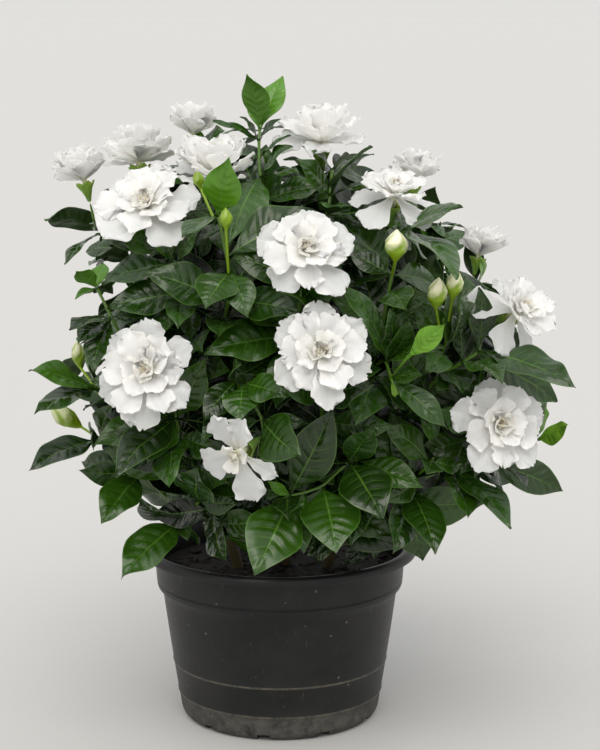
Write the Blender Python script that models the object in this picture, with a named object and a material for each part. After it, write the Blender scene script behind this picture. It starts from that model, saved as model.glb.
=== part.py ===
"""A potted flowering shrub with double white flowers, in a black nursery pot.

Metres, +Z up. The origin is the centre of the pot's foot, on the ground. The shrub's front looks along -Y.
The pot holds a block of soil, four woody cuttings stand in the soil, leafy shoots grow from them, and flowers
and buds end the shoots. Each is a solid of its own, clear of its neighbours.
"""

import math
import random
from collections import namedtuple

import bmesh
import bpy
from mathutils import Euler, Vector
from mathutils.bvhtree import BVHTree

MM = 0.001

# The pot: a thin moulded wall with a rolled rim, a collar under it and two raised lines lower down
RIM_RADIUS = 100 * MM
POT_HEIGHT = 126 * MM
LIP_DROP = 4.5 * MM
COLLAR_TOP_RADIUS = 90.8 * MM
COLLAR_FOOT_RADIUS = 89.6 * MM
COLLAR_FOOT_HEIGHT = 98.5 * MM
WALL_TOP_RADIUS = 85.2 * MM
WALL_TOP_HEIGHT = 91 * MM
UPPER_LINE_HEIGHT = 41.3 * MM
UPPER_LINE_RADIUS = 78.6 * MM
LOWER_LINE_HEIGHT = 18.9 * MM
LOWER_LINE_RADIUS = 75.6 * MM
LINE_RELIEF = 0.4 * MM
HEEL_RADIUS = 72.8 * MM
HEEL_HEIGHT = 7.5 * MM
FOOT_RADIUS = 62 * MM
WALL = 1.8 * MM
FLOOR = 4 * MM
POT_SIDES = 40
LINE_HALF = 1.4 * MM
DRAIN_SLOTS = 10
SLOT_WIDTH = 9 * MM
SLOT_HEIGHT = 3.4 * MM
SLOT_REACH = 8 * MM
SLOT_MIDDLE_RADIUS = 66 * MM
SLOT_UNDERCUT = 2 * MM

# The soil, and the clearance that every solid keeps from its neighbour
SOIL_EDGE_HEIGHT = 110 * MM
SOIL_CROWN = 4 * MM
SOIL_SHOULDER_RADIUS = 60 * MM
SOIL_TOP_RADIUS = 30 * MM
GAP = 0.35 * MM

# The woody cuttings: where each foot stands in the soil and where its top ends
CUTTING_DEPTH = 60 * MM
CUTTING_FOOT_RADIUS = 4.2 * MM
CUTTING_TOP_RADIUS = 2.4 * MM
CUTTING_SIDES = 8
HOLE_OVERSHOOT = 6 * MM
CUTTINGS = {
    "cutting_left": (Vector((-0.030, -0.018, 0)), Vector((-0.074, -0.036, 0.275))),
    "cutting_right": (Vector((0.034, -0.016, 0)), Vector((0.084, -0.030, 0.262))),
    "cutting_back": (Vector((0.002, 0.032, 0)), Vector((0.000, 0.052, 0.330))),
    "cutting_front": (Vector((0.004, -0.010, 0)), Vector((0.012, -0.034, 0.300))),
}

# Where the photograph was taken from: the eye, how far it looks down, and the picture's measures in pixels
EYE = Vector((0.0147, -1.415, 0.505))
LOOK_DOWN = math.radians(10.2)
FOCAL_PIXELS = 2000
MIDDLE_ACROSS = 300
MIDDLE_DOWN = 375

# The crown's rounded outline as an ellipsoid, which gives a pixel of the photograph its depth
CROWN_CENTRE = Vector((0.012, 0.0, 0.285))
CROWN_RADII = Vector((0.192, 0.165, 0.172))

# The mass of leaves as the front view shows it, in pixels, from the top round by the right
CROWN_OUTLINE = [
    (246, 112), (282, 112), (300, 150), (372, 146), (400, 172), (434, 196), (462, 214), (474, 240), (492, 262),
    (508, 292), (532, 332), (548, 356), (552, 384), (548, 420), (552, 450), (530, 476), (508, 498), (474, 508),
    (448, 530), (420, 548), (392, 556), (340, 566), (250, 566), (206, 556), (182, 536), (150, 530), (122, 512),
    (100, 486), (78, 462), (70, 440), (72, 416), (66, 392), (74, 362), (84, 330), (88, 300), (96, 280),
    (84, 252), (98, 226), (106, 196), (128, 172), (172, 164), (206, 132),
]

# A leaf: its half width along the blade, how far its two halves fold up, and how thick it is
BLADE_OUTLINE = [
    (0.04, 0.10), (0.12, 0.42), (0.28, 0.88), (0.46, 1.0), (0.64, 0.86), (0.80, 0.52), (0.92, 0.17),
]
PLAIN_BLADE = [(0.30, 0.92), (0.64, 0.88)]
BLADE_FOLD = 0.16
BLADE_THICKNESS = 0.9 * MM
BLADE_ROOM = 0.7 * MM
JOINED_SHARE = 0.12
LEAF_LENGTH = (52 * MM, 74 * MM)
LEAF_WIDTH_SHARE = 0.48
STATION_SPACING = 17 * MM
ROLLS = (0, 14, -14, 28, -28, 42, -42, 56, -56)
STRETCHES = (1, 0.93, 1.07, 0.86, 1.14, 0.79, 0.72)
SEEN_ATTEMPTS = 2 * len(ROLLS) * len(STRETCHES)
FILLING_ATTEMPTS = 14
FULL_STATION = 3
BARE_SHARE = 0.30
BARE_END = 6 * MM
STATION_ROOM = 9 * MM
RIM_ROOM = 2 * MM

# A shoot's stem, and the short stretch of it that carries a pair of leaves
SHOOT_FOOT_RADIUS = 2.0 * MM
SHOOT_TIP_RADIUS = 1.2 * MM
SHOOT_SIDES = 5
STATION_HALF = 1.2 * MM
LONGEST_STEP = 30 * MM
SQUARE_START = 7 * MM
END_PAST_KNOT = 7 * MM
STRAIGHT_UNDER_TUBE = 6 * MM

# A flower: its tube and its three whorls, for a flower of this diameter
FLOWER_DIAMETER = 66 * MM
TUBE_LENGTH = 25 * MM
TUBE_RADIUS = 1.3 * MM
HUB_RADIUS = 4.2 * MM
OUTER_PETALS = 6
OUTER_PETAL = [(0.42, 0.72), (0.82, 1.0)]
INNER_PETAL = [(0.76, 1.0)]
PETAL_THICKNESS = 1.0 * MM
PETAL_HOLLOW = -0.04
TUBE_ROOM_RADIUS = 2.6 * MM

# The round part of a flower or leaf that no other leaf may hide, in pixels for each millimetre of its size
FLOWER_KEPT_CLEAR = 0.40
LEAF_KEPT_CLEAR = 0.42 / 0.73

# A bud, for a bud of this length
BUD_LENGTH = 26 * MM
BUD_RADIUS = 5.4 * MM
BUD_SIDES = 7
STALK_FOOT_RADIUS = 0.8 * MM
STALK_TOP_RADIUS = 0.9 * MM
STALK_CLEARANCE = 1.2 * MM
BUD_OUTLINE = [(0.10, 0.45), (0.36, 0.92), (0.62, 1.0), (0.86, 0.55)]
BUD_TIP = 0.12

Tip = namedtuple("Tip", "across down length width far", defaults=(False,))
Knot = namedtuple("Knot", "across down inset tips back", defaults=((), False))
Shoot = namedtuple("Shoot", "cutting share knots ends")
Flower = namedtuple("Flower", "across down inset turn lift size rise back", defaults=(False,))
Bud = namedtuple("Bud", "across down inset turn lift size stalk")
Leaf = namedtuple("Leaf", "base tip face width arch")

# Flowers: pixel of the eye, depth inside the crown's outline in mm, turn to the right and lift of the face in
# degrees, diameter in mm, and how far its outer petals rise from flat in degrees. A turn of 180 looks away.
FLOWERS = {
    "flower_01": Flower(147, 208, 2, -12, 48, 74, 8),
    "flower_02": Flower(306, 252, -4, 2, 32, 66, 8),
    "flower_03": Flower(320, 354, -8, 4, 22, 70, 8),
    "flower_04": Flower(150, 372, -4, -18, 18, 72, 8),
    "flower_05": Flower(240, 453, -6, -30, -12, 60, 8),
    "flower_06": Flower(496, 424, -8, 22, 16, 68, 8),
    "flower_07": Flower(516, 312, 2, 48, 34, 64, 14),
    "flower_08": Flower(394, 196, 4, 12, 68, 60, 14),
    "flower_09": Flower(321, 140, 30, -4, 78, 64, 14),
    "flower_10": Flower(215, 172, 24, -6, 72, 62, 30),
    "flower_11": Flower(138, 158, 14, -150, 74, 60, 26, True),
    "flower_12": Flower(83, 176, -4, -100, 76, 48, 44),
    "flower_13": Flower(193, 130, 14, 170, 78, 46, 46, True),
    "flower_14": Flower(414, 178, 26, 150, 78, 50, 44, True),
    "flower_15": Flower(479, 252, 22, 120, 76, 46, 48, True),
    "flower_16": Flower(430, 300, 0, 150, 28, 66, 8, True),
    "flower_17": Flower(250, 240, -2, 176, 34, 66, 8, True),
    "flower_18": Flower(170, 380, -2, 200, 20, 62, 8, True),
}

# Buds: pixel of the bud's foot, depth in mm, turn and lift, length in mm, and the knot its stalk leaves
BUDS = {
    "bud_01": Bud(83, 428, 24, -70, 35, 34, ("shoot_left_low", 1)),
    "bud_02": Bud(395, 262, -2, 10, 78, 27, ("shoot_08", 0)),
    "bud_03": Bud(436, 309, 4, 10, 72, 25, ("shoot_pair", 1)),
    "bud_04": Bud(452, 300, 0, 35, 78, 22, ("shoot_pair", 1)),
    "bud_05": Bud(226, 230, -4, 0, 80, 17, ("shoot_10", 0)),
    "bud_06": Bud(201, 189, -2, -25, 62, 15, ("shoot_10", 1)),
    "bud_07": Bud(81, 369, 30, -20, 75, 24, ("shoot_left_mid", 1)),
}

# Shoots: the cutting each grows from and how far up it, then its knots from foot to end. A knot is a pixel and
# its depth inside the crown's outline in mm. A tip is the pixel where a leaf ends, its length and width in mm,
# and whether it points away from the viewer.
SHOOTS = {
    "shoot_top": Shoot("cutting_back", 0.96, [
        Knot(260, 178, 40, [Tip(291, 145, 38, 24), Tip(229, 243, 74, 34)]),
        Knot(259, 141, 30, [Tip(213, 120, 38, 15), Tip(281, 119, 22, 12), Tip(241, 116, 22, 12)]),
        Knot(260, 130, 28, [Tip(248, 73, 44, 25), Tip(283, 76, 44, 23, True), Tip(259, 86, 36, 18)]),
    ], None),
    "shoot_01": Shoot("cutting_left", 0.72, [
        Knot(190, 306, 50, [Tip(191, 341, 34, 16)]),
        Knot(176, 264, 26, [Tip(148, 228, 28, 10), Tip(206, 222, 46, 20), Tip(160, 231, 26, 9)]),
    ], "flower_01"),
    "shoot_02": Shoot("cutting_front", 0.90, [
        Knot(300, 300, 30, [Tip(283, 291, 40, 24), Tip(341, 268, 56, 28)]),
    ], "flower_02"),
    "shoot_03": Shoot("cutting_front", 0.55, [
        Knot(322, 398, 30, [Tip(273, 372, 52, 32), Tip(372, 384, 54, 28)]),
    ], "flower_03"),
    "shoot_04": Shoot("cutting_left", 0.42, [
        Knot(176, 418, 30, [Tip(115, 476, 70, 33), Tip(147, 461, 46, 28), Tip(206, 358, 60, 26)]),
    ], "flower_04"),
    "shoot_05": Shoot("cutting_front", 0.36, [
        Knot(244, 384, 26, [Tip(239, 421, 38, 26), Tip(286, 396, 38, 24), Tip(236, 373, 14, 8)]),
        Knot(262, 420, 22, [Tip(300, 456, 52, 34)]),
    ], "flower_05"),
    "shoot_06": Shoot("cutting_right", 0.34, [
        Knot(448, 466, 26, [Tip(512, 528, 72, 34), Tip(468, 518, 52, 32)]),
        Knot(484, 458, 18, [Tip(529, 489, 48, 26), Tip(564, 491, 66, 28, True)]),
    ], "flower_06"),
    "shoot_07": Shoot("cutting_right", 0.72, [
        Knot(446, 372, 36, [Tip(463, 392, 30, 24), Tip(437, 390, 32, 15)]),
        Knot(478, 352, 20, [Tip(576, 386, 80, 34), Tip(558, 402, 72, 33, True)]),
    ], "flower_07"),
    "shoot_08": Shoot("cutting_right", 0.93, [
        Knot(392, 275, 22, [
            Tip(334, 218, 76, 36), Tip(348, 252, 44, 18), Tip(355, 282, 40, 26), Tip(437, 285, 50, 24),
        ]),
        Knot(402, 232, 12, [Tip(459, 277, 72, 38), Tip(463, 207, 58, 30), Tip(393, 202, 26, 18)]),
    ], "flower_08"),
    "shoot_09": Shoot("cutting_back", 0.86, [
        Knot(330, 196, 44, [Tip(372, 146, 60, 30), Tip(296, 158, 44, 22)]),
        Knot(332, 170, 38, [Tip(312, 150, 24, 14), Tip(352, 156, 26, 14)]),
    ], "flower_09"),
    "shoot_10": Shoot("cutting_left", 0.97, [
        Knot(229, 272, 22, [Tip(205, 307, 46, 32), Tip(248, 317, 46, 22)]),
        Knot(218, 216, 4, [Tip(229, 157, 50, 26), Tip(182, 238, 50, 24)]),
    ], "flower_10"),
    "shoot_11": Shoot("cutting_back", 0.80, [
        Knot(176, 206, 30, [], True), Knot(154, 178, 16, [], True),
    ], "flower_11"),
    "shoot_12": Shoot("cutting_left", 0.86, [
        Knot(132, 262, 36, [Tip(96, 256, 50, 26)], True),
        Knot(104, 231, 16, [Tip(44, 219, 58, 30), Tip(64, 264, 48, 26)], True),
    ], "flower_12"),
    "shoot_13": Shoot("cutting_back", 0.90, [
        Knot(208, 174, 26, [], True), Knot(203, 152, 14, [Tip(193, 127, 24, 12), Tip(222, 138, 22, 10)], True),
    ], "flower_13"),
    "shoot_14": Shoot("cutting_right", 0.97, [
        Knot(420, 226, 34, [Tip(436, 186, 36, 20)], True),
    ], "flower_14"),
    "shoot_15": Shoot("cutting_right", 0.80, [
        Knot(462, 318, 40, [], True), Knot(478, 284, 22, [Tip(480, 255, 26, 14), Tip(467, 236, 40, 18)], True),
    ], "flower_15"),
    "shoot_16": Shoot("cutting_right", 0.66, [
        Knot(420, 366, 50, [], True), Knot(424, 330, 22, [], True),
    ], "flower_16"),
    "shoot_17": Shoot("cutting_back", 0.62, [
        Knot(262, 330, 50, [], True), Knot(256, 280, 22, [], True),
    ], "flower_17"),
    "shoot_18": Shoot("cutting_left", 0.50, [
        Knot(196, 430, 50, [], True), Knot(184, 408, 22, [], True),
    ], "flower_18"),
    "shoot_left_young": Shoot("cutting_left", 0.66, [
        Knot(112, 318, 18, [Tip(69, 329, 46, 26), Tip(77, 343, 42, 24), Tip(93, 373, 46, 22)]),
        Knot(97, 288, 10, [Tip(76, 271, 24, 16), Tip(103, 262, 22, 14), Tip(75, 298, 18, 9)]),
    ], None),
    "shoot_left_mid": Shoot("cutting_left", 0.46, [
        Knot(112, 402, 34, [Tip(83, 410, 30, 14)]),
        Knot(97, 389, 26, [Tip(29, 370, 58, 28), Tip(34, 414, 60, 28)]),
    ], None),
    "shoot_left_low": Shoot("cutting_left", 0.26, [
        Knot(142, 474, 26, [Tip(101, 523, 56, 30), Tip(78, 470, 48, 22)]),
        Knot(100, 439, 22, [Tip(29, 469, 62, 30), Tip(112, 404, 36, 20)]),
    ], None),
    "shoot_low_left": Shoot("cutting_left", 0.14, [
        Knot(200, 500, 22, [Tip(196, 469, 46, 36), Tip(237, 504, 34, 18)]),
        Knot(184, 520, 12, [Tip(121, 579, 66, 34), Tip(140, 500, 48, 36), Tip(187, 540, 26, 12)]),
    ], None),
    "shoot_low_front": Shoot("cutting_front", 0.16, [
        Knot(348, 462, 26, [Tip(383, 518, 58, 38), Tip(374, 426, 48, 24)]),
        Knot(322, 486, 16, [Tip(336, 553, 56, 42)]),
        Knot(290, 496, 8, [Tip(254, 575, 66, 40), Tip(334, 408, 72, 34), Tip(267, 481, 22, 8)]),
    ], None),
    "shoot_low_right": Shoot("cutting_right", 0.16, [
        Knot(408, 486, 26, [Tip(436, 554, 60, 34), Tip(422, 562, 64, 32, True), Tip(393, 554, 56, 28)]),
        Knot(430, 462, 14, [Tip(428, 472, 26, 20)]),
    ], None),
    "shoot_middle": Shoot("cutting_right", 0.62, [
        Knot(386, 362, 20, [
            Tip(341, 286, 66, 30), Tip(391, 309, 44, 22), Tip(409, 319, 38, 20), Tip(443, 346, 50, 24),
        ]),
        Knot(391, 378, 6, [Tip(423, 375, 28, 14), Tip(445, 324, 56, 16), Tip(396, 398, 18, 9)]),
    ], None),
    "shoot_pair": Shoot("cutting_right", 0.90, [
        Knot(446, 340, 26, [Tip(462, 300, 48, 32), Tip(416, 300, 50, 20)]),
        Knot(444, 324, 14, [Tip(430, 330, 16, 8)]),
    ], None),
    "shoot_right_young": Shoot("cutting_right", 0.44, [
        Knot(500, 444, 34, [Tip(516, 480, 40, 22)], True),
        Knot(536, 440, 16, [Tip(568, 424, 30, 20), Tip(546, 405, 28, 14)], True),
    ], None),
}


def toward(across, down):
    """The direction in which the eye sees this pixel."""
    right = (across - MIDDLE_ACROSS) / FOCAL_PIXELS
    below = (down - MIDDLE_DOWN) / FOCAL_PIXELS
    ahead = Vector((0, math.cos(LOOK_DOWN), -math.sin(LOOK_DOWN)))
    up = Vector((0, math.sin(LOOK_DOWN), math.cos(LOOK_DOWN)))
    return (Vector((right, 0, 0)) + ahead - up * below).normalized()


def in_picture(point):
    """The pixel at which the eye sees this point, and its distance."""
    sight = point - EYE
    ahead = sight.dot(Vector((0, math.cos(LOOK_DOWN), -math.sin(LOOK_DOWN))))
    rise = sight.dot(Vector((0, math.sin(LOOK_DOWN), math.cos(LOOK_DOWN))))
    across = MIDDLE_ACROSS + FOCAL_PIXELS * sight.x / ahead
    return across, MIDDLE_DOWN - FOCAL_PIXELS * rise / ahead, ahead


def on_sphere(centre, radii, across, down, far):
    """Where the sight of a pixel meets an ellipsoid, or its nearest point to one that it misses."""
    sight = toward(across, down)
    start = Vector([(EYE[i] - centre[i]) / radii[i] for i in range(3)])
    step = Vector([sight[i] / radii[i] for i in range(3)])
    middle = -start.dot(step) / step.length_squared
    reach = middle * middle - (start.length_squared - 1) / step.length_squared
    offset = math.sqrt(max(reach, 0))
    return EYE + sight * (middle + offset if far else middle - offset)


def on_crown(across, down, inset, back=False):
    """The point that a pixel shows, this many millimetres inside the crown's outline."""
    radii = CROWN_RADII - Vector((inset, inset, inset)) * MM
    return on_sphere(CROWN_CENTRE, radii, across, down, back)


def facing(turn, lift):
    """A unit vector that looks to the viewer at no turn, and up as the lift grows. Both in degrees."""
    turn, lift = math.radians(turn), math.radians(lift)
    return Vector((math.sin(turn) * math.cos(lift), -math.cos(turn) * math.cos(lift), math.sin(lift)))


def flower_place(flower):
    """A flower's centre and the way its face looks."""
    return on_crown(flower.across, flower.down, flower.inset, flower.back), facing(flower.turn, flower.lift)


def tube_foot(flower):
    """Where the tube under a flower ends, on its shoot."""
    centre, axis = flower_place(flower)
    return centre - axis * (TUBE_LENGTH * flower.size * MM / FLOWER_DIAMETER)


class Path:
    """A smooth curve through points, with a frame at every length along it."""

    STEPS = 12

    def __init__(self, points):
        spans = [(b - a).length for a, b in zip(points, points[1:])]
        slopes = [(b - a) / span for a, b, span in zip(points, points[1:], spans)]
        tangents = [slopes[0]]
        for i in range(1, len(spans)):
            tangents.append((slopes[i - 1] * spans[i] + slopes[i] * spans[i - 1]) / (spans[i - 1] + spans[i]))
        tangents.append(slopes[-1])
        self.points = [points[0].copy()]
        for i, span in enumerate(spans):
            for step in range(1, self.STEPS + 1):
                t = step / self.STEPS
                ease = t * t * (3 - 2 * t)
                leave, arrive = t * (1 - t) * (1 - t), t * t * (t - 1)
                swing = (tangents[i] * leave + tangents[i + 1] * arrive) * span
                self.points.append(points[i].lerp(points[i + 1], ease) + swing)
        self.lengths = [0.0]
        for a, b in zip(self.points, self.points[1:]):
            self.lengths.append(self.lengths[-1] + (b - a).length)
        self.total = self.lengths[-1]

    def place(self, length):
        """The point at this length, the way ahead, and two directions square to it."""
        length = min(max(length, 0.0), self.total)
        i = 0
        while i < len(self.lengths) - 2 and self.lengths[i + 1] < length:
            i += 1
        span = self.lengths[i + 1] - self.lengths[i]
        point = self.points[i].lerp(self.points[i + 1], (length - self.lengths[i]) / span)
        ahead = (self.points[i + 1] - self.points[i]).normalized()
        side = ahead.cross(Vector((0.31, 0.95, 0.05))).normalized()
        return point, ahead, side, ahead.cross(side)

    def nearest(self, point):
        """The length along the path nearest to a point."""
        gaps = [(point - p).length for p in self.points]
        return self.lengths[gaps.index(min(gaps))]


def blade_point(leaf, along, across):
    """A point of a leaf's middle surface. along runs from 0 to 1, across is in metres beside the midrib."""
    chord = leaf.tip - leaf.base
    side = chord.cross(leaf.face).normalized()
    up = side.cross(chord).normalized()
    rise = 2 * along * (1 - along) * leaf.arch * chord.length
    slope = 2 * (1 - 2 * along) * leaf.arch
    normal = (up - chord.normalized() * slope).normalized()
    return leaf.base + chord * along + up * rise + side * across + normal * BLADE_FOLD * abs(across), normal


def blade_sections(leaf, outline, thickness, extra):
    """Four corners of the blade's section at each step of its outline, and its tip."""
    sections = []
    for along, share in outline:
        half = share * leaf.width / 2 + extra
        right, _ = blade_point(leaf, along, half)
        left, _ = blade_point(leaf, along, -half)
        middle, normal = blade_point(leaf, along, 0)
        rib = normal * thickness / 2
        sections.append([right, middle - rib, left, middle + rib])
    return sections, leaf.tip


def blade_shell(leaf, start):
    """Closed shells round a blade from this share of its length on, as it grows and as it is modelled."""
    points, faces = [], []
    for outline in (BLADE_OUTLINE, [(0.02, 0.10), *PLAIN_BLADE]):
        outline = [step for step in outline if step[0] >= start]
        sections, tip = blade_sections(leaf, outline, BLADE_THICKNESS + 2 * BLADE_ROOM, BLADE_ROOM)
        first = len(points)
        points += [corner for section in sections for corner in section] + [tip]
        last = len(points) - 1
        faces.append((first + 3, first + 2, first + 1, first))
        for ring in range(len(sections) - 1):
            for k in range(4):
                a, b = first + 4 * ring + k, first + 4 * ring + (k + 1) % 4
                faces.append((a, b, b + 4, a + 4))
        faces += [(last - 4 + k, last - 4 + (k + 1) % 4, last) for k in range(4)]
    return points, faces


def tube_shell(path, radius, lengths=None):
    """A closed shell round a stem."""
    points, faces = [], []
    for length in lengths or path.lengths[::4]:
        centre, _, side, up = path.place(length)
        ring = [2 * math.pi * k / SHOOT_SIDES for k in range(SHOOT_SIDES)]
        points += [centre + (side * math.cos(a) + up * math.sin(a)) * radius for a in ring]
    for ring in range(len(points) // SHOOT_SIDES - 1):
        for k in range(SHOOT_SIDES):
            a, b = SHOOT_SIDES * ring + k, SHOOT_SIDES * ring + (k + 1) % SHOOT_SIDES
            faces.append((a, b, b + SHOOT_SIDES, a + SHOOT_SIDES))
    return points, faces


def flower_shell(flower):
    """A closed shell round a flower's petals, as a shallow bowl with a full heart."""
    centre, axis = flower_place(flower)
    radius = flower.size * MM / 2
    side = axis.orthogonal().normalized()
    up = axis.cross(side)
    out, rise = math.cos(math.radians(flower.rise)), math.sin(math.radians(flower.rise))
    bowl = [
        (0.08, -0.12), (0.55 * out, 0.55 * rise - 0.10), (1.02 * out, rise - 0.08), (1.02 * out, rise + 0.16),
        (0.62 * out, 0.66 + 0.3 * rise), (0.2, 0.72 + 0.2 * rise),
    ]
    sides = 14
    points = []
    for reach, height in bowl:
        for k in range(sides):
            angle = 2 * math.pi * k / sides
            points.append(centre + (side * math.cos(angle) + up * math.sin(angle)) * radius * reach
                          + axis * radius * height)
    faces = []
    for ring in range(len(bowl) - 1):
        for k in range(sides):
            a, b = sides * ring + k, sides * ring + (k + 1) % sides
            faces.append((a, b, b + sides, a + sides))
    faces.append(tuple(range(sides))[::-1])
    faces.append(tuple(range(len(points) - sides, len(points))))
    return points, faces


class Crown:
    """What already grows in the crown, so that nothing new grows through it."""

    def __init__(self):
        self.shells = []

    def add(self, owner, shell, joined=None):
        low = Vector([min(p[i] for p in shell[0]) for i in range(3)])
        high = Vector([max(p[i] for p in shell[0]) for i in range(3)])
        whole = BVHTree.FromPolygons(*shell)
        self.shells.append((owner, low, high, whole, BVHTree.FromPolygons(*joined) if joined else whole))

    def free(self, owner, whole, joined):
        """Whether a new leaf clears everything. Near its foot it may touch what grows from the same place."""
        low = Vector([min(p[i] for p in whole[0]) for i in range(3)])
        high = Vector([max(p[i] for p in whole[0]) for i in range(3)])
        whole_tree, joined_tree = BVHTree.FromPolygons(*whole), BVHTree.FromPolygons(*joined)
        for other, other_low, other_high, other_tree, other_joined in self.shells:
            if any(low[i] > other_high[i] or high[i] < other_low[i] for i in range(3)):
                continue
            if other[0] == owner[0] and (other[1] is None or other[1] == owner[1]):
                if joined_tree.overlap(other_joined):
                    return False
            elif whole_tree.overlap(other_tree):
                return False
        return True


def inside_outline(across, down):
    """Whether a pixel lies in the crown's outline."""
    inside = False
    for (ax, ay), (bx, by) in zip(CROWN_OUTLINE, CROWN_OUTLINE[1:] + CROWN_OUTLINE[:1]):
        if (ay > down) != (by > down) and across < ax + (down - ay) * (bx - ax) / (by - ay):
            inside = not inside
    return inside


def spoils_view(leaf, shown):
    """Whether a leaf leaves the outline, hangs outside the crown, or hides a flower or a leaf that shows."""
    for along in (0.25, 0.5, 0.75, 1.0):
        for share in (-0.8, 0, 0.8):
            half = share * leaf.width / 2 * (1 - along) ** 0.5
            point, _ = blade_point(leaf, along, half)
            across, down, distance = in_picture(point)
            if not inside_outline(across, down):
                return True
            for centre_across, centre_down, radius, centre_distance in shown:
                apart = math.hypot(across - centre_across, down - centre_down)
                if apart < radius and distance < centre_distance:
                    return True
    return False


def seen_leaf(foot, tip, attempt):
    """A leaf that the photograph shows, and ways to nudge it clear without moving its tip in the picture."""
    roll = ROLLS[attempt % len(ROLLS)]
    stretch = STRETCHES[attempt // len(ROLLS) % len(STRETCHES)]
    other_way = attempt >= len(ROLLS) * len(STRETCHES)
    length = tip.length * MM * stretch
    end = on_sphere(foot, Vector((length,) * 3), tip.across, tip.down, tip.far != other_way)
    return shaped_leaf(foot, end, tip.width * MM, roll, 0.10 + 0.04 * (attempt % 3))


def shaped_leaf(foot, end, width, roll, arch):
    """A leaf between two points, its upper face turned up and out of the crown, then rolled by degrees."""
    chord = (end - foot).normalized()
    outward = (foot - CROWN_CENTRE).normalized()
    wish = Vector((0, -0.1, 0.7)) + outward
    face = (wish - chord * wish.dot(chord)).normalized()
    turn = math.radians(roll)
    face = face * math.cos(turn) + chord.cross(face) * math.sin(turn)
    return Leaf(foot + chord * 0.002, end, face, width, arch)


def filling_leaf(name, station, side, place, age, attempt):
    """A leaf of the crown's inner mass: one of an opposite pair, each pair square to the one below."""
    dice = random.Random(f"{name} {station} {side} {attempt}")
    foot, ahead, across, up = place
    swerve = dice.uniform(-18, 18) * (1 + attempt / 4)
    around = math.radians(90 * (station + side // 2) + 180 * side + 25 + swerve)
    spread = math.radians(dice.uniform(48, 72) + 4 * attempt * dice.uniform(-1, 1))
    radial = across * math.cos(around) + up * math.sin(around)
    way = ahead * math.cos(spread) + radial * math.sin(spread) + Vector((0, 0, -0.22))
    length = dice.uniform(*LEAF_LENGTH) * (1 - 0.3 * age ** 3) * (1 - 0.025 * attempt)
    width = length * LEAF_WIDTH_SHARE * dice.uniform(0.9, 1.1)
    end = foot + way.normalized() * length
    return shaped_leaf(foot, end, width, dice.uniform(-25, 25), dice.uniform(0.08, 0.16))


def cutting_point(name, share):
    """The middle of a cutting's stem, and its direction, at this share of its way up out of the soil."""
    foot, top = CUTTINGS[name]
    foot = Vector((foot.x, foot.y, SOIL_EDGE_HEIGHT + SOIL_CROWN))
    return foot.lerp(top, share), (top - foot).normalized()


def shoot_path(shoot):
    """A shoot's stem: square out of its cutting, through its knots, to the tube of the flower that ends it."""
    root, rise = cutting_point(shoot.cutting, shoot.share)
    knots = [on_crown(k.across, k.down, k.inset, k.back) for k in shoot.knots]
    out = knots[0] - root
    out = (out - rise * out.dot(rise)).normalized()
    radius = CUTTING_FOOT_RADIUS + (CUTTING_TOP_RADIUS - CUTTING_FOOT_RADIUS) * shoot.share
    start = root + out * (radius + GAP)
    points = [start, start + out * SQUARE_START, *knots]
    if shoot.ends:
        flower = FLOWERS[shoot.ends]
        _, axis = flower_place(flower)
        points += [tube_foot(flower) - axis * STRAIGHT_UNDER_TUBE, tube_foot(flower) - axis * GAP]
    else:
        points.append(knots[-1] + (knots[-1] - points[-2]).normalized() * END_PAST_KNOT)
    return Path(points), knots


def stations_of(shoot, path, knots):
    """The lengths along a stem at which leaves grow, each with the leaves that the photograph shows there."""
    shown = [(path.nearest(knot), list(plan.tips)) for knot, plan in zip(knots, shoot.knots)]
    stations = list(shown)
    length = path.total * BARE_SHARE
    while length < path.total - BARE_END:
        if all(abs(length - at) > STATION_ROOM for at, _ in shown):
            stations.append((length, []))
        length += STATION_SPACING
    return sorted(stations, key=lambda station: station[0])


def stem_steps(path, stations):
    """The lengths along a stem at which its outline is drawn, with both ends of each stretch with leaves."""
    lengths = [0.0]
    for length, _ in stations:
        between = length - STATION_HALF - lengths[-1]
        parts = math.ceil(between / LONGEST_STEP)
        lengths += [lengths[-1] + between * k / parts for k in range(1, parts)]
        lengths += [length - STATION_HALF, length + STATION_HALF]
    lengths.append(path.total)
    return lengths


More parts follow.
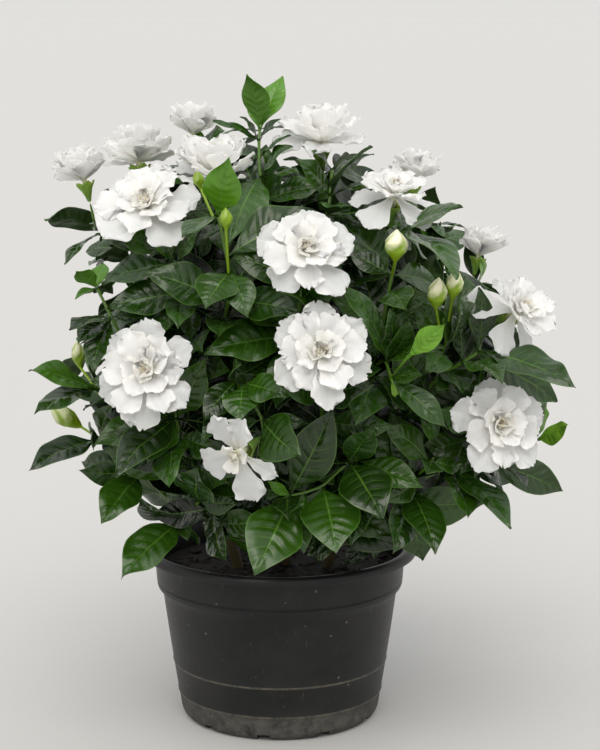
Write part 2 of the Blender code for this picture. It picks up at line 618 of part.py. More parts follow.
def grow_crown():
    """Every shoot's path and leaves. Flowers, stems and leaves that show come first, the inner mass last."""
    crown = Crown()
    for name, flower in FLOWERS.items():
        centre, axis = flower_place(flower)
        crown.add((name, None), flower_shell(flower))
        foot = tube_foot(flower)
        tube = Path([foot, foot.lerp(centre, 0.4), foot.lerp(centre, 0.8)])
        crown.add((name, None), tube_shell(tube, TUBE_ROOM_RADIUS))
    for name in CUTTINGS:
        foot, _ = cutting_point(name, 0)
        top, _ = cutting_point(name, 1)
        crown.add((name, None), tube_shell(Path([foot, foot.lerp(top, 0.5), top]), CUTTING_FOOT_RADIUS + GAP))
    for name in BUDS:
        crown.add((name, None), tube_shell(bud_path(name), BUD_RADIUS))
    plans = {}
    for name, shoot in SHOOTS.items():
        path, knots = shoot_path(shoot)
        stations = stations_of(shoot, path, knots)
        plans[name] = (path, stations)
        crown.add((name, None), tube_shell(path, SHOOT_FOOT_RADIUS + GAP, stem_steps(path, stations)))
    grown = {name: [] for name in SHOOTS}
    shown = [
        (f.across, f.down, FLOWER_KEPT_CLEAR * f.size, (flower_place(f)[0] - EYE).length)
        for f in FLOWERS.values() if not f.back
    ]
    for name, (path, stations) in plans.items():
        for index, (length, tips) in enumerate(stations):
            foot = path.place(length)[0]
            for tip in tips:
                choices = (seen_leaf(foot, tip, attempt) for attempt in range(SEEN_ATTEMPTS))
                leaf = first_free(crown, (name, index), choices, None)
                if leaf:
                    grown[name].append((index, leaf))
                    across, down, distance = in_picture(blade_point(leaf, 0.55, 0)[0])
                    shown.append((across, down, LEAF_KEPT_CLEAR * tip.width, distance))
                else:
                    print("no room for the leaf of", name, "that ends at", tip.across, tip.down)
    for pair in (0, 2):
        for name, (path, stations) in plans.items():
            for index, (length, tips) in enumerate(stations):
                age = length / path.total
                wanted = max(0, 2 - len(tips)) if pair == 0 else 2
                for side in range(pair, pair + wanted):
                    if sum(at == index for at, _ in grown[name]) > FULL_STATION:
                        break
                    place = path.place(length)
                    choices = (
                        filling_leaf(name, index, side, place, age, attempt)
                        for attempt in range(FILLING_ATTEMPTS)
                    )
                    leaf = first_free(crown, (name, index), choices, shown)
                    if leaf:
                        grown[name].append((index, leaf))
    return plans, grown


def first_free(crown, owner, choices, shown):
    """The first of these leaves that grows through nothing and spoils no view. It joins the crown."""
    for leaf in choices:
        if shown is not None and spoils_view(leaf, shown):
            continue
        if lowest(leaf) < POT_HEIGHT + RIM_ROOM:
            continue
        whole, joined = blade_shell(leaf, 0), blade_shell(leaf, JOINED_SHARE)
        if crown.free(owner, whole, joined):
            crown.add(owner, whole, joined)
            return leaf
    return None


def lowest(leaf):
    """A leaf's lowest point, so that it stays above the pot's rim."""
    return min(blade_point(leaf, along, share * leaf.width / 2)[0].z
               for along in (0.3, 0.5, 0.7, 0.9, 1.0) for share in (-0.8, 0, 0.8))


def ring(mesh, centre, side, up, radius, sides, turn=0.0):
    """A ring of vertices, anticlockwise about side x up."""
    corners = []
    for k in range(sides):
        angle = 2 * math.pi * k / sides + turn
        corners.append(mesh.verts.new(centre + (side * math.cos(angle) + up * math.sin(angle)) * radius))
    return corners


def wall(mesh, lower, upper):
    """The faces between two rings, facing out."""
    faces = []
    for k in range(len(lower)):
        after = (k + 1) % len(lower)
        faces.append(mesh.faces.new((lower[k], lower[after], upper[after], upper[k])))
    return faces


def stack(mesh, rings):
    """A closed body through rings, capped at both ends. It returns the wall faces of each storey."""
    mesh.faces.new(rings[0][::-1])
    storeys = [wall(mesh, lower, upper) for lower, upper in zip(rings, rings[1:])]
    mesh.faces.new(rings[-1])
    return storeys


def grow_blade(mesh, face, sections, tip):
    """A blade drawn out of one face of a stem or hub, section by section, to its tip."""
    corners = [v.co.copy() for v in face.verts]
    shifts = [sum((corners[k] - sections[0][(k + s) % 4]).length for k in range(4)) for s in range(4)]
    shift = shifts.index(min(shifts))
    old = corners
    for section in sections:
        new = [section[(k + shift) % 4] for k in range(4)]
        face = bmesh.ops.extrude_discrete_faces(mesh, faces=[face])["faces"][0]
        for vert in face.verts:
            near = min(range(4), key=lambda k: (vert.co - old[k]).length)
            vert.co = new[near]
        old = new
    poked = bmesh.ops.poke(mesh, faces=[face])
    poked["verts"][0].co = tip


def material(name, colour, roughness, metallic=0.0):
    """A plain finish from an sRGB colour."""
    made = bpy.data.materials.new(name)
    made.use_nodes = True
    shader = made.node_tree.nodes["Principled BSDF"]
    linear = [(c / 255 / 12.92) if c <= 10 else ((c / 255 + 0.055) / 1.055) ** 2.4 for c in colour]
    shader.inputs["Base Color"].default_value = (*linear, 1)
    shader.inputs["Roughness"].default_value = roughness
    shader.inputs["Metallic"].default_value = metallic
    made.diffuse_color = (*linear, 1)
    return made


def add_object(name, mesh_data, finish, parent, location=(0, 0, 0), rotation=None, scale=1.0):
    """An object of the shrub, placed under the shrub's empty."""
    made = bpy.data.objects.new(name, mesh_data)
    bpy.context.scene.collection.objects.link(made)
    if not mesh_data.materials:
        mesh_data.materials.append(finish)
    made.parent = parent
    made.location = location
    if rotation:
        made.rotation_euler = rotation
    made.scale = (scale,) * 3
    return made


def mesh_of(name, mesh, smooth_below=None):
    """The bmesh as mesh data, with smooth shading where its faces meet below this angle in degrees."""
    data = bpy.data.meshes.new(name)
    mesh.to_mesh(data)
    mesh.free()
    if smooth_below:
        data.shade_smooth()
        data.set_sharp_from_angle(angle=math.radians(smooth_below))
    return data


def turned(profile, sides):
    """A turned body, from its lowest ring up the outside and, where it is hollow, down the inside."""
    mesh = bmesh.new()
    x, y = Vector((1, 0, 0)), Vector((0, 1, 0))
    stack(mesh, [ring(mesh, Vector((0, 0, height)), x, y, radius, sides) for radius, height in profile])
    return mesh


def wall_radius(height):
    """The outside radius of the pot's plain wall at this height."""
    share = (height - LOWER_LINE_HEIGHT) / (WALL_TOP_HEIGHT - LOWER_LINE_HEIGHT)
    return LOWER_LINE_RADIUS + (WALL_TOP_RADIUS - LOWER_LINE_RADIUS) * share


def make_pot(parent):
    outside = [
        (FOOT_RADIUS, 0), (FOOT_RADIUS + 6 * MM, 2.2 * MM), (HEEL_RADIUS, HEEL_HEIGHT),
        (LOWER_LINE_RADIUS - 0.6 * MM, LOWER_LINE_HEIGHT - LINE_HALF),
        (LOWER_LINE_RADIUS + LINE_RELIEF, LOWER_LINE_HEIGHT),
        (LOWER_LINE_RADIUS + 0.2 * MM, LOWER_LINE_HEIGHT + LINE_HALF),
        (UPPER_LINE_RADIUS - 0.2 * MM, UPPER_LINE_HEIGHT - LINE_HALF),
        (UPPER_LINE_RADIUS + LINE_RELIEF, UPPER_LINE_HEIGHT),
        (UPPER_LINE_RADIUS + 0.2 * MM, UPPER_LINE_HEIGHT + LINE_HALF),
        (wall_radius(66 * MM), 66 * MM),
        (WALL_TOP_RADIUS, WALL_TOP_HEIGHT), (COLLAR_FOOT_RADIUS - 0.8 * MM, COLLAR_FOOT_HEIGHT - 2 * MM),
        (COLLAR_FOOT_RADIUS, COLLAR_FOOT_HEIGHT), (COLLAR_TOP_RADIUS, POT_HEIGHT - LIP_DROP),
        (RIM_RADIUS - 1.2 * MM, POT_HEIGHT - LIP_DROP), (RIM_RADIUS, POT_HEIGHT - LIP_DROP + 1.4 * MM),
        (RIM_RADIUS - 0.6 * MM, POT_HEIGHT - 0.6 * MM), (RIM_RADIUS - 2.4 * MM, POT_HEIGHT),
    ]
    inside = [
        (COLLAR_TOP_RADIUS - WALL, POT_HEIGHT - 1.6 * MM), (COLLAR_FOOT_RADIUS - WALL, COLLAR_FOOT_HEIGHT),
        (WALL_TOP_RADIUS - WALL, WALL_TOP_HEIGHT - WALL),
        (UPPER_LINE_RADIUS - WALL, UPPER_LINE_HEIGHT), (HEEL_RADIUS - WALL, HEEL_HEIGHT + WALL),
        (HEEL_RADIUS - WALL - 5 * MM, FLOOR),
    ]
    data = mesh_of("pot", turned(outside + inside, POT_SIDES), 35)
    plastic = material("black polypropylene", (44, 44, 45), 0.5)
    pot = add_object("pot", data, plastic, parent)
    cutters = bmesh.new()
    for k in range(DRAIN_SLOTS):
        angle = 2 * math.pi * (k + 0.25) / DRAIN_SLOTS
        out = Vector((math.cos(angle), math.sin(angle), 0))
        along = Vector((-out.y, out.x, 0))
        middle = out * SLOT_MIDDLE_RADIUS
        corners = []
        for height in (-SLOT_UNDERCUT, SLOT_HEIGHT):
            for step_out, step_along in ((-1, -1), (1, -1), (1, 1), (-1, 1)):
                place = middle + out * step_out * SLOT_REACH + along * step_along * SLOT_WIDTH / 2
                corners.append(cutters.verts.new(place + Vector((0, 0, height))))
        stack(cutters, [corners[:4], corners[4:]])
    slots = add_object("drain_slot_cutter", mesh_of("drain_slot_cutter", cutters), plastic, parent)
    slots.hide_render = True
    slots.display_type = "WIRE"
    cut = pot.modifiers.new("drain slots", "BOOLEAN")
    cut.object = slots
    return pot


def make_soil(parent):
    room = WALL + GAP
    profile = [
        (HEEL_RADIUS - room - 6 * MM, FLOOR + GAP),
        (HEEL_RADIUS - room - 0.6 * MM, HEEL_HEIGHT + WALL + 1.2 * MM),
        (UPPER_LINE_RADIUS - room, UPPER_LINE_HEIGHT), (WALL_TOP_RADIUS - room, WALL_TOP_HEIGHT - WALL - GAP),
        (COLLAR_FOOT_RADIUS - room - 0.2 * MM, COLLAR_FOOT_HEIGHT),
        (COLLAR_FOOT_RADIUS - room, SOIL_EDGE_HEIGHT),
        (SOIL_SHOULDER_RADIUS, SOIL_EDGE_HEIGHT + 0.7 * SOIL_CROWN),
        (SOIL_TOP_RADIUS, SOIL_EDGE_HEIGHT + SOIL_CROWN),
    ]
    data = mesh_of("potting_soil", turned(profile, POT_SIDES), 35)
    soil = add_object("potting_soil", data, material("potting soil", (46, 36, 28), 0.95), parent)
    holes = bmesh.new()
    for name in CUTTINGS:
        cutting_body(holes, name, GAP, SOIL_EDGE_HEIGHT + SOIL_CROWN + HOLE_OVERSHOOT)
    cutter_data = mesh_of("cutting_hole_cutter", holes)
    cutter = add_object("cutting_hole_cutter", cutter_data, soil.data.materials[0], parent)
    cutter.hide_render = True
    cutter.display_type = "WIRE"
    cut = soil.modifiers.new("holes", "BOOLEAN")
    cut.object = cutter
    return soil


def cutting_body(mesh, name, grow, top_height=None):
    """A cutting from its foot deep in the soil to its top, thicker by a clearance where it only cuts."""
    foot, rise = cutting_point(name, 0)
    top = cutting_point(name, 1)[0]
    end = top if top_height is None else foot + rise * (top_height - foot.z) / rise.z
    start = foot - rise * CUTTING_DEPTH
    side = rise.orthogonal().normalized()
    up = rise.cross(side)
    rings = [ring(mesh, start - rise * grow, side, up, CUTTING_FOOT_RADIUS + grow, CUTTING_SIDES)]
    if top_height is None:
        rings.append(ring(mesh, foot, side, up, CUTTING_FOOT_RADIUS, CUTTING_SIDES))
        rings.append(ring(mesh, end, side, up, CUTTING_TOP_RADIUS, CUTTING_SIDES))
    else:
        rings.append(ring(mesh, end, side, up, CUTTING_FOOT_RADIUS + grow, CUTTING_SIDES))
    stack(mesh, rings)


def make_cuttings(parent, finish):
    for name in CUTTINGS:
        mesh = bmesh.new()
        cutting_body(mesh, name, 0)
        add_object(name, mesh_of(name, mesh, 50), finish, parent)


def make_shoot(name, path, stations, leaves, finish, parent):
    """A shoot as one body: its stem, and each leaf drawn out of the face of the stem that looks its way."""
    lengths = stem_steps(path, stations)
    start = path.points[0].copy()
    mesh = bmesh.new()
    rings = []
    for length in lengths:
        centre, _, side, up = path.place(length)
        radius = SHOOT_FOOT_RADIUS + (SHOOT_TIP_RADIUS - SHOOT_FOOT_RADIUS) * length / path.total
        rings.append(ring(mesh, centre - start, side, up, radius, SHOOT_SIDES))
    storeys = stack(mesh, rings)
    for index, (length, _) in enumerate(stations):
        faces = list(storeys[lengths.index(length - STATION_HALF)])
        mesh.normal_update()
        for leaf in [leaf for at, leaf in leaves if at == index]:
            way = (leaf.tip - leaf.base).normalized()
            face = max(faces, key=lambda f: f.normal.dot(way))
            faces.remove(face)
            moved = leaf._replace(base=leaf.base - start, tip=leaf.tip - start)
            grow_blade(mesh, face, *blade_sections(moved, PLAIN_BLADE, BLADE_THICKNESS, 0))
    add_object(name, mesh_of(name, mesh, 50), finish, parent, start)


def petal(angle, lift, length, width, foot):
    """A petal as a leaf-like blade about the flower's +Z axis."""
    out = Vector((math.cos(angle), math.sin(angle), 0))
    rise = math.radians(lift)
    way = out * math.cos(rise) + Vector((0, 0, math.sin(rise)))
    face = Vector((0, 0, 1)) * math.cos(rise) - out * math.sin(rise)
    base = out * HUB_RADIUS * 0.8 + Vector((0, 0, foot))
    return Leaf(base, base + way * length, face, width, PETAL_HOLLOW)


def flower_mesh(outer_rise):
    """A double flower about +Z: a long tube, a hub, six broad petals, six smaller ones and a full heart."""
    mesh = bmesh.new()
    x, y, z = Vector((1, 0, 0)), Vector((0, 1, 0)), Vector((0, 0, 1))
    radius = FLOWER_DIAMETER / 2
    half_turn = math.pi / OUTER_PETALS
    steps = [
        (TUBE_RADIUS, -TUBE_LENGTH, 0), (TUBE_RADIUS * 1.6, -6 * MM, 0), (HUB_RADIUS, -2 * MM, 0),
        (HUB_RADIUS, 0.4 * MM, 0), (HUB_RADIUS, 1.6 * MM, 1), (HUB_RADIUS, 4.2 * MM, 1),
        (0.28 * radius, 0.36 * radius, 1), (0.10 * radius, 0.60 * radius, 1),
    ]
    rings = [
        ring(mesh, z * height, x, y, size, OUTER_PETALS, turn * half_turn) for size, height, turn in steps
    ]
    storeys = stack(mesh, rings)
    whorls = [
        (2, outer_rise, 0.94 * radius, 0.70 * radius, -1 * MM, 0, OUTER_PETAL),
        (4, min(outer_rise + 34, 72), 0.60 * radius, 0.44 * radius, 2.6 * MM, 1, INNER_PETAL),
    ]
    for storey, rise, length, width, foot, turn, outline in whorls:
        for k, face in enumerate(storeys[storey]):
            angle = (2 * k + 1 + turn) * half_turn
            blade = petal(angle, rise, length, width, foot)
            grow_blade(mesh, face, *blade_sections(blade, outline, PETAL_THICKNESS, 0))
    return mesh_of("double_flower", mesh, 40)


def make_flowers(parent):
    shapes = {flower.rise: flower_mesh(flower.rise) for flower in FLOWERS.values()}
    finish = material("white petal", (244, 244, 240), 0.55)
    for name, flower in FLOWERS.items():
        centre, axis = flower_place(flower)
        rotation = axis.to_track_quat("Z", "Y").to_euler()
        scale = flower.size * MM / FLOWER_DIAMETER
        add_object(name, shapes[flower.rise], finish, parent, centre, rotation, scale)


def bud_path(name):
    """A bud's stalk and body, from beside its shoot's stem to the bud's tip."""
    bud = BUDS[name]
    foot = on_crown(bud.across, bud.down, bud.inset)
    axis = facing(bud.turn, bud.lift)
    shoot_name, knot = bud.stalk
    path, knots = shoot_path(SHOOTS[shoot_name])
    stem = knots[knot]
    away = (foot - axis * 4 * MM - stem).normalized()
    _, ahead, _, _ = path.place(path.nearest(stem))
    square = (away - ahead * away.dot(ahead)).normalized()
    start = stem + square * (SHOOT_FOOT_RADIUS + STALK_CLEARANCE) + away * MM
    return Path([start, (start + foot - axis * 3 * MM) / 2, foot, foot + axis * bud.size * MM])


def make_buds(parent):
    """Closed buds: a slim stalk, a green cup and a furled body that ends in a point."""
    finish = material("green bud", (196, 208, 120), 0.5)
    for name, bud in BUDS.items():
        path = bud_path(name)
        length = bud.size * MM
        thick = BUD_RADIUS * length / BUD_LENGTH
        foot = path.total - length
        steps = [(0.0, STALK_FOOT_RADIUS), (foot, STALK_TOP_RADIUS)]
        steps += [(foot + share * length, width * thick) for share, width in BUD_OUTLINE]
        steps.append((path.total, BUD_TIP * thick))
        start = path.points[0].copy()
        mesh = bmesh.new()
        rings = []
        for along, radius in steps:
            centre, _, side, up = path.place(along)
            rings.append(ring(mesh, centre - start, side, up, radius, BUD_SIDES, along / length * 0.5))
        stack(mesh, rings)
        add_object(name, mesh_of(name, mesh, 50), finish, parent, start)


def main():
    for old in list(bpy.data.objects):
        bpy.data.objects.remove(old)
    shrub = bpy.data.objects.new("potted_shrub", None)
    bpy.context.scene.collection.objects.link(shrub)
    make_pot(shrub)
    make_soil(shrub)
    make_cuttings(shrub, material("woody stem", (96, 82, 56), 0.8))
    plans, grown = grow_crown()
    leafy = material("glossy leaf", (38, 70, 30), 0.35)
    for name, (path, stations) in plans.items():
        make_shoot(name, path, stations, grown[name], leafy, shrub)
    make_flowers(shrub)
    make_buds(shrub)
    print("leaves:", sum(len(leaves) for leaves in grown.values()))


main()
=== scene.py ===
"""Looks of a potted flowering shrub: pot, soil, woody cuttings, leafy shoots, double flowers and buds."""

import math
import random
from collections import namedtuple
from functools import partial

import bmesh
import bpy
import numpy as np
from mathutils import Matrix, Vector, noise
from mathutils.bvhtree import BVHTree


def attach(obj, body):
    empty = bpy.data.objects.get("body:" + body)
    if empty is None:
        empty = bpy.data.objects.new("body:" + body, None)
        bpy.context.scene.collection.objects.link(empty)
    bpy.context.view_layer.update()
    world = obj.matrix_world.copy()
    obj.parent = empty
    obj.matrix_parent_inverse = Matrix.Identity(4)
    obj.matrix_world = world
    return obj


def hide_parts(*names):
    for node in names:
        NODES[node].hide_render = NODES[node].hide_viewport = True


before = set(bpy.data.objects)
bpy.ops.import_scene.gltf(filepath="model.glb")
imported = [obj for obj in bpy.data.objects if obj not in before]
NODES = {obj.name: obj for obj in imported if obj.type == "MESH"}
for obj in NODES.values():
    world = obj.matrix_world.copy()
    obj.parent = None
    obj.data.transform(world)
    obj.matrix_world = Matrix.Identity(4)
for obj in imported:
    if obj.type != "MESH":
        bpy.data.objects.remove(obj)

bl_info = {
    "name": "Potted Flowering Shrub",
    "version": (1, 0, 0),
    "blender": (4, 5, 0),
    "location": "View3D > Sidebar > Shrub",
    "description": "Models the visible surfaces of a potted double-flowered shrub on its packed frame",
    "category": "Add Mesh",
}

MM = 0.001
WELD = 0.001 * MM

# The eye: where the picture was taken from, how far it looks down, and its focal length in pixels
EYE = Vector((0.0147, -1.415, 0.505))
LOOK_DOWN = math.radians(10.2)
PICTURE_WIDTH = 600
PICTURE_HEIGHT = 750
FOCAL_PIXELS = 2000
SENSOR = 36

# The floor's radius in metres, and the soft lamp's place, aim and spread
FLOOR_RADIUS = 400
LAMP_PLACE = Vector((-0.1, -1.25, 1.75))
LAMP_AIM = Vector((0, 0, 0.25))
LAMP_SPREAD = math.radians(50)

# The crown's outline, as an ellipsoid
CROWN_CENTRE = Vector((0.012, 0.0, 0.285))
CROWN_RADII = Vector((0.192, 0.165, 0.172))

# Where along a CAD blade its waist ring lies, and that ring's width over the blade's
WAIST = 0.3
WAIST_WIDTH = 0.92

# Sides and radius of a CAD bud's stalk
BUD_STALK_SIDES = 7
BUD_STALK_RADIUS = 0.8 * MM

Leaf = namedtuple("Leaf", "base way side up length width arch")
Blank = namedtuple("Blank", "piece places blade relief")
Bloom = namedtuple("Bloom", "centre axis upward rightward scale rise turn foot")
Whorl = namedtuple("Whorl", "count length width start foot rise bow turn cream cup blank")

# Half the blade's width, as a share of its widest, at shares of its length
LEAF_OUTLINE = [
    (0, 0.045), (0.06, 0.055), (0.10, 0.13), (0.15, 0.29), (0.22, 0.52), (0.30, 0.74), (0.38, 0.90),
    (0.46, 0.98), (0.53, 1.0), (0.62, 0.94), (0.72, 0.76), (0.81, 0.52), (0.89, 0.28), (0.945, 0.13), (1, 0),
]
PETAL_OUTLINE = [
    (0, 0.17), (0.12, 0.25), (0.25, 0.39), (0.4, 0.61), (0.55, 0.83), (0.68, 0.97), (0.78, 1.0), (0.88, 0.93),
    (0.95, 0.78), (1, 0.52),
]

# Pixels at the tips of blades that have just opened, with how young each is, and how near a tip has to be
YOUNG_TIPS = [
    (148, 229, 0.45), (29, 370, 0.2), (76, 271, 0.45), (102, 263, 0.45), (75, 298, 0.25), (193, 127, 0.5),
    (480, 256, 0.6), (248, 73, 0.45), (283, 76, 0.5), (259, 87, 0.5), (228, 157, 0.5), (567, 424, 0.75),
    (548, 404, 0.55), (267, 481, 0.5), (445, 324, 0.6), (397, 394, 0.85), (284, 291, 0.3),
]
TIP_REACH = 5

# The lowest that a leaf added inside the crown may reach, over the soil and over the rim
LOWEST_FILL = 125 * MM
LOWEST_OVER_RIM = 140 * MM
INSIDE_RIM = 76 * MM

# Below this height more leaves stand round each joint
LOW_CROWN = 230 * MM

# Degrees by which more leaves at a joint are turned, inside the crown and low in it, and their spread
INNER_TURNS = (-55, 60)
LOW_TURNS = (-100, -50, 55, 105)
TURN_SPREAD = 15

# How far out in the crown more leaves may reach, in sight and out of it, and where outer leaves begin
SEEN_SHARE = 0.76
HIDDEN_SHARE = 0.9
OUTER_SHARE = 0.8

# Painted shade: how much darker than the leaves in sight the others are painted, for the shade inside and low
# in the crown
INNER_PAINTED_SHADE = 0.7
EXTRA_PAINTED_SHADE = 0.8
COVER_PAINTED_SHADE = 0.5
FILL_PAINTED_SHADE = 0.3

# Pixels of thin places in the crown, which a leaf from a nearby joint covers, and how far past them it runs
THIN_PLACES = [
    (253, 492, 2), (263, 500, 2), (182, 512, 2), (196, 504, 2), (318, 561, 1.05), (345, 564, 1.05),
    (374, 557, 1.05), (394, 549, 1.05), (214, 548, 1.05),
]
SIGHT_SLACK = 9 * MM
NEAREST_COVER = 20 * MM
FRONT_OF_COVER = -90 * MM

# Pixels at the tips of blades turned to the eye, with the share of the turn, and at one blade on a long stalk
TURNED_TIPS = [(228, 157, 1.0), (34, 412, 0.4), (29, 370, 0.85), (31, 470, 0.5), (102, 522, 0.75)]
LONG_STALKED_TIP = (445, 324)

# Where a blade starts on its stalk, as a share of the whole length
STALK = 0.08
LONG_STALK = 0.42

# Leaves added where the crown is empty: places tried, room round each, how far out they lie, and their length
FILL_TRIES = 900
FILL_ROOM = 24 * MM
FILL_SHARE = 0.87
SHORTEST_FILL = 30 * MM
LONGEST_FILL = 80 * MM

# Leafy twigs added where the nearest joint is too far for a single leaf
TWIG_TRIES = 500
TWIG_ROOM = 26 * MM
LOWEST_TWIG = 165 * MM
SHORTEST_TWIG = 36 * MM
LONGEST_TWIG = 120 * MM
TWIG_FOOT_RADIUS = 1.3 * MM
TWIG_TIP_RADIUS = 0.7 * MM
TWIG_PAIRS = 5
FEWEST_TWIG_LEAVES = 4

# How strongly the edges at an outer petal's CAD tip point one way, from 0 to 1
OUTER_TIP_LEAN = 0.72

# The pot's half section in mm, as radius and height, from its outer foot over its rim to its inner floor
POT_SECTION = [
    (62, 0), (66.4, 0.3), (69.6, 1.5), (71.4, 3.4), (72.4, 5.8), (72.9, 8.6), (74.2, 17.4), (74.7, 18.0),
    (75.1, 18.7), (75.1, 19.4), (74.8, 20.2), (76.4, 30), (78.0, 40.3), (78.4, 40.8), (78.6, 41.3),
    (78.5, 42.0), (78.3, 42.7), (80.0, 54), (81.7, 66), (83.5, 79), (85.0, 90.4), (86.0, 93.2), (87.6, 95.4),
    (88.8, 96.8), (89.4, 98.5), (89.6, 100.3), (89.1, 100.8), (89.1, 101.4), (89.8, 102.0), (90.3, 110),
    (90.8, 118.6), (91.3, 119.9), (92.6, 120.6), (98.3, 120.6), (99.4, 121.0), (100, 122.0), (100.1, 123.6),
    (99.7, 125.2), (98.8, 126.5), (97.4, 127.2), (95.6, 127.3), (93.4, 126.7), (91.3, 125.5), (89.9, 123.8),
    (89.1, 121.4), (88.5, 110), (87.8, 98.5), (87.0, 96.2), (84.8, 93.4), (83.2, 89.2), (79.9, 66),
    (76.3, 41.3), (72.8, 18.9), (71.0, 9.4), (69.6, 6.4), (66.5, 4.6), (62, 4),
]

# Heights in mm of the raised lines, along which a pale painted highlight is laid
HIGHLIGHT_LINES = [18.6, 41.2]

# The drain slots' cutters: how far they are turned as a share of their spacing, and their place and depth
SLOT_OFFSET = 0.25
SLOT_RADIUS = 66 * MM
SLOT_MIDDLE = 0.7 * MM
SLOT_DEPTH = 16 * MM

# The soil's half section, from its foot up its side and in over its surface, ring by ring
SOIL_RIM = 87.0
SOIL_RINGS = 26
SOIL_SECTION = [(64, 4.6), (69.4, 10.4), (75.4, 41.3), (82.4, 88.4), (86.2, 98.8)]
SOIL_SECTION += [(SOIL_RIM * (SOIL_RINGS - k) / SOIL_RINGS, 109) for k in range(SOIL_RINGS)]

# The half section of a flower's tube, and how far the flower's centre lies over its foot
TUBE_SECTION = [
    (1.3, 0), (2.1, 1.2), (2.6, 3.6), (2.3, 6), (1.6, 8), (1.6, 14), (2.1, 19), (3.4, 23), (3.9, 25),
    (3.2, 27), (1.6, 28.5),
]
CENTRE_HEIGHT = 25

# The CAD petal from its foot to its tip: how far out and up the foot lies, and the distance between the two
PETAL_OUT = 3.36 * MM
PETAL_UP = 24 * MM
PETAL_REACH = 31.02 * MM
FLOWER_RADIUS = 33 * MM

# How each kind of flower is filled, whorl by whorl from outside in
FULL = [
    Whorl(6, 0.93, 0.70, 3.4, -1.0, 0, 13, 0, 0.08, 0.04, "broad"),
    Whorl(6, 0.78, 0.60, 3.0, 0.2, 13, 15, 29, 0.12, 0.08, "broad"),
    Whorl(5, 0.54, 0.46, 2.2, 1.0, 29, 18, 10, 0.3, 0.2, "small"),
    Whorl(4, 0.35, 0.34, 1.0, 1.6, 46, 22, 40, 0.7, 0.35, "small"),
    Whorl(3, 0.2, 0.24, 0.2, 3.0, 56, 20, 0, 1.0, 0.4, "small"),
]
SIMPLE = [
    Whorl(5, 1.0, 0.72, 3.2, -0.6, 0, 16, 0, 0.45, 0.03, "broad"),
    Whorl(3, 0.46, 0.36, 2.0, 1.2, 34, 20, 20, 0.7, 0.2, "small"),
    Whorl(3, 0.26, 0.24, 0.6, 2.4, 56, 16, 50, 1.0, 0.4, "small"),
]
OPEN = [
    Whorl(5, 0.95, 0.78, 3.4, -1.0, -3, 12, 0, 0.08, 0.03, "broad"),
    Whorl(5, 0.84, 0.66, 3.0, 0.2, 10, 14, 36, 0.1, 0.06, "broad"),
    Whorl(5, 0.6, 0.5, 2.2, 1.0, 28, 14, 12, 0.25, 0.16, "small"),
    Whorl(4, 0.38, 0.36, 1.0, 1.6, 46, 12, 40, 0.7, 0.3, "small"),
    Whorl(3, 0.22, 0.24, 0.2, 3.0, 56, 20, 0, 1.0, 0.4, "small"),
]
DROOPING = [Whorl(5, 1.08, 0.7, 3.4, -1.0, -34, -6, 20, 0.08, 0.03, "broad")] + FULL[1:]
TALL = [
    Whorl(6, 1.0, 0.72, 3.4, -2.0, -12, 8, 0, 0.08, 0.05, "broad"),
    Whorl(6, 0.95, 0.66, 3.0, -0.6, 20, -8, 29, 0.1, 0.1, "broad"),
    Whorl(5, 0.88, 0.6, 2.4, 0.6, 44, -10, 10, 0.15, 0.2, "broad"),
    Whorl(4, 0.6, 0.42, 1.4, 1.4, 56, 0, 40, 0.5, 0.3, "small"),
    Whorl(3, 0.34, 0.3, 0.4, 3.0, 60, 10, 0, 0.9, 0.4, "small"),
]
GOBLET = [
    Whorl(5, 0.88, 0.76, 3.4, -3.0, -14, -8, 0, 0.1, 0.06, "broad"),
    Whorl(5, 1.0, 0.76, 3.0, -1.2, 4, -20, 36, 0.1, 0.10, "broad"),
    Whorl(5, 0.98, 0.70, 2.6, 0.4, 18, -22, 12, 0.15, 0.14, "broad"),
    Whorl(4, 0.84, 0.6, 2.0, 1.4, 32, -20, 50, 0.25, 0.2, "small"),
    Whorl(3, 0.66, 0.46, 1.2, 2.0, 44, -14, 20, 0.4, 0.3, "small"),
]
STYLES = {
    "flower_01": OPEN, "flower_02": OPEN, "flower_05": SIMPLE, "flower_06": OPEN, "flower_07": DROOPING,
    "flower_08": DROOPING, "flower_09": TALL, "flower_16": OPEN,
}
GOBLET_RISE = 25

# A petal that points up in the flower is shorter than its whorl by this share, and one that hangs is longer
HANG = 0.07

# Outer petals that stand unevenly: degrees clockwise from the top, and length and width over the whorl's
UNEVEN = {
    "flower_05": [(-30, 0.98, 1), (20, 0.96, 1), (114, 0.9, 0.6), (166, 0.98, 1.15), (-112, 0.88, 1.15)],
}

# How far each bud has got: its length over its node's, how much plumper it is, and how far its tip has paled
BUDS = {
    "bud_01": (0.8, 0.0, 0.6), "bud_02": (0.78, 0.42, 1.0), "bud_03": (0.88, 0.3, 0.85),
    "bud_04": (0.94, 0.3, 1.0), "bud_05": (0.84, 0.25, 0.1), "bud_06": (0.88, 0.25, 0.15),
    "bud_07": (0.85, 0.0, 0.7),
}
OTHER_BUD = (1.0, 0.2, 0.7)
BUD_SIDES = 30
BUD_ROWS = 40


# A mask that falls from 1 to 0
FALLING = {"To Min": 1.0, "To Max": 0.0}


def linear(code):
    """A linear colour with full alpha, from an sRGB hex value."""
    shares = [int(code[k:k + 2], 16) / 255 for k in (1, 3, 5)]
    return tuple(c / 12.92 if c <= 0.04045 else ((c + 0.055) / 1.055) ** 2.4 for c in shares) + (1.0,)


def tint(name, description, code):
    """A colour property."""
    return bpy.props.FloatVectorProperty(
        name=name, description=description, subtype="COLOR", size=4, min=0, max=1, default=linear(code))


def size(name, description, millimetres):
    """A length property."""
    return bpy.props.FloatProperty(
        name=name, description=description, default=millimetres * MM, unit="LENGTH", precision=5)


def factor(name, description, value):
    """A property without a unit."""
    return bpy.props.FloatProperty(name=name, description=description, default=value, subtype="FACTOR")


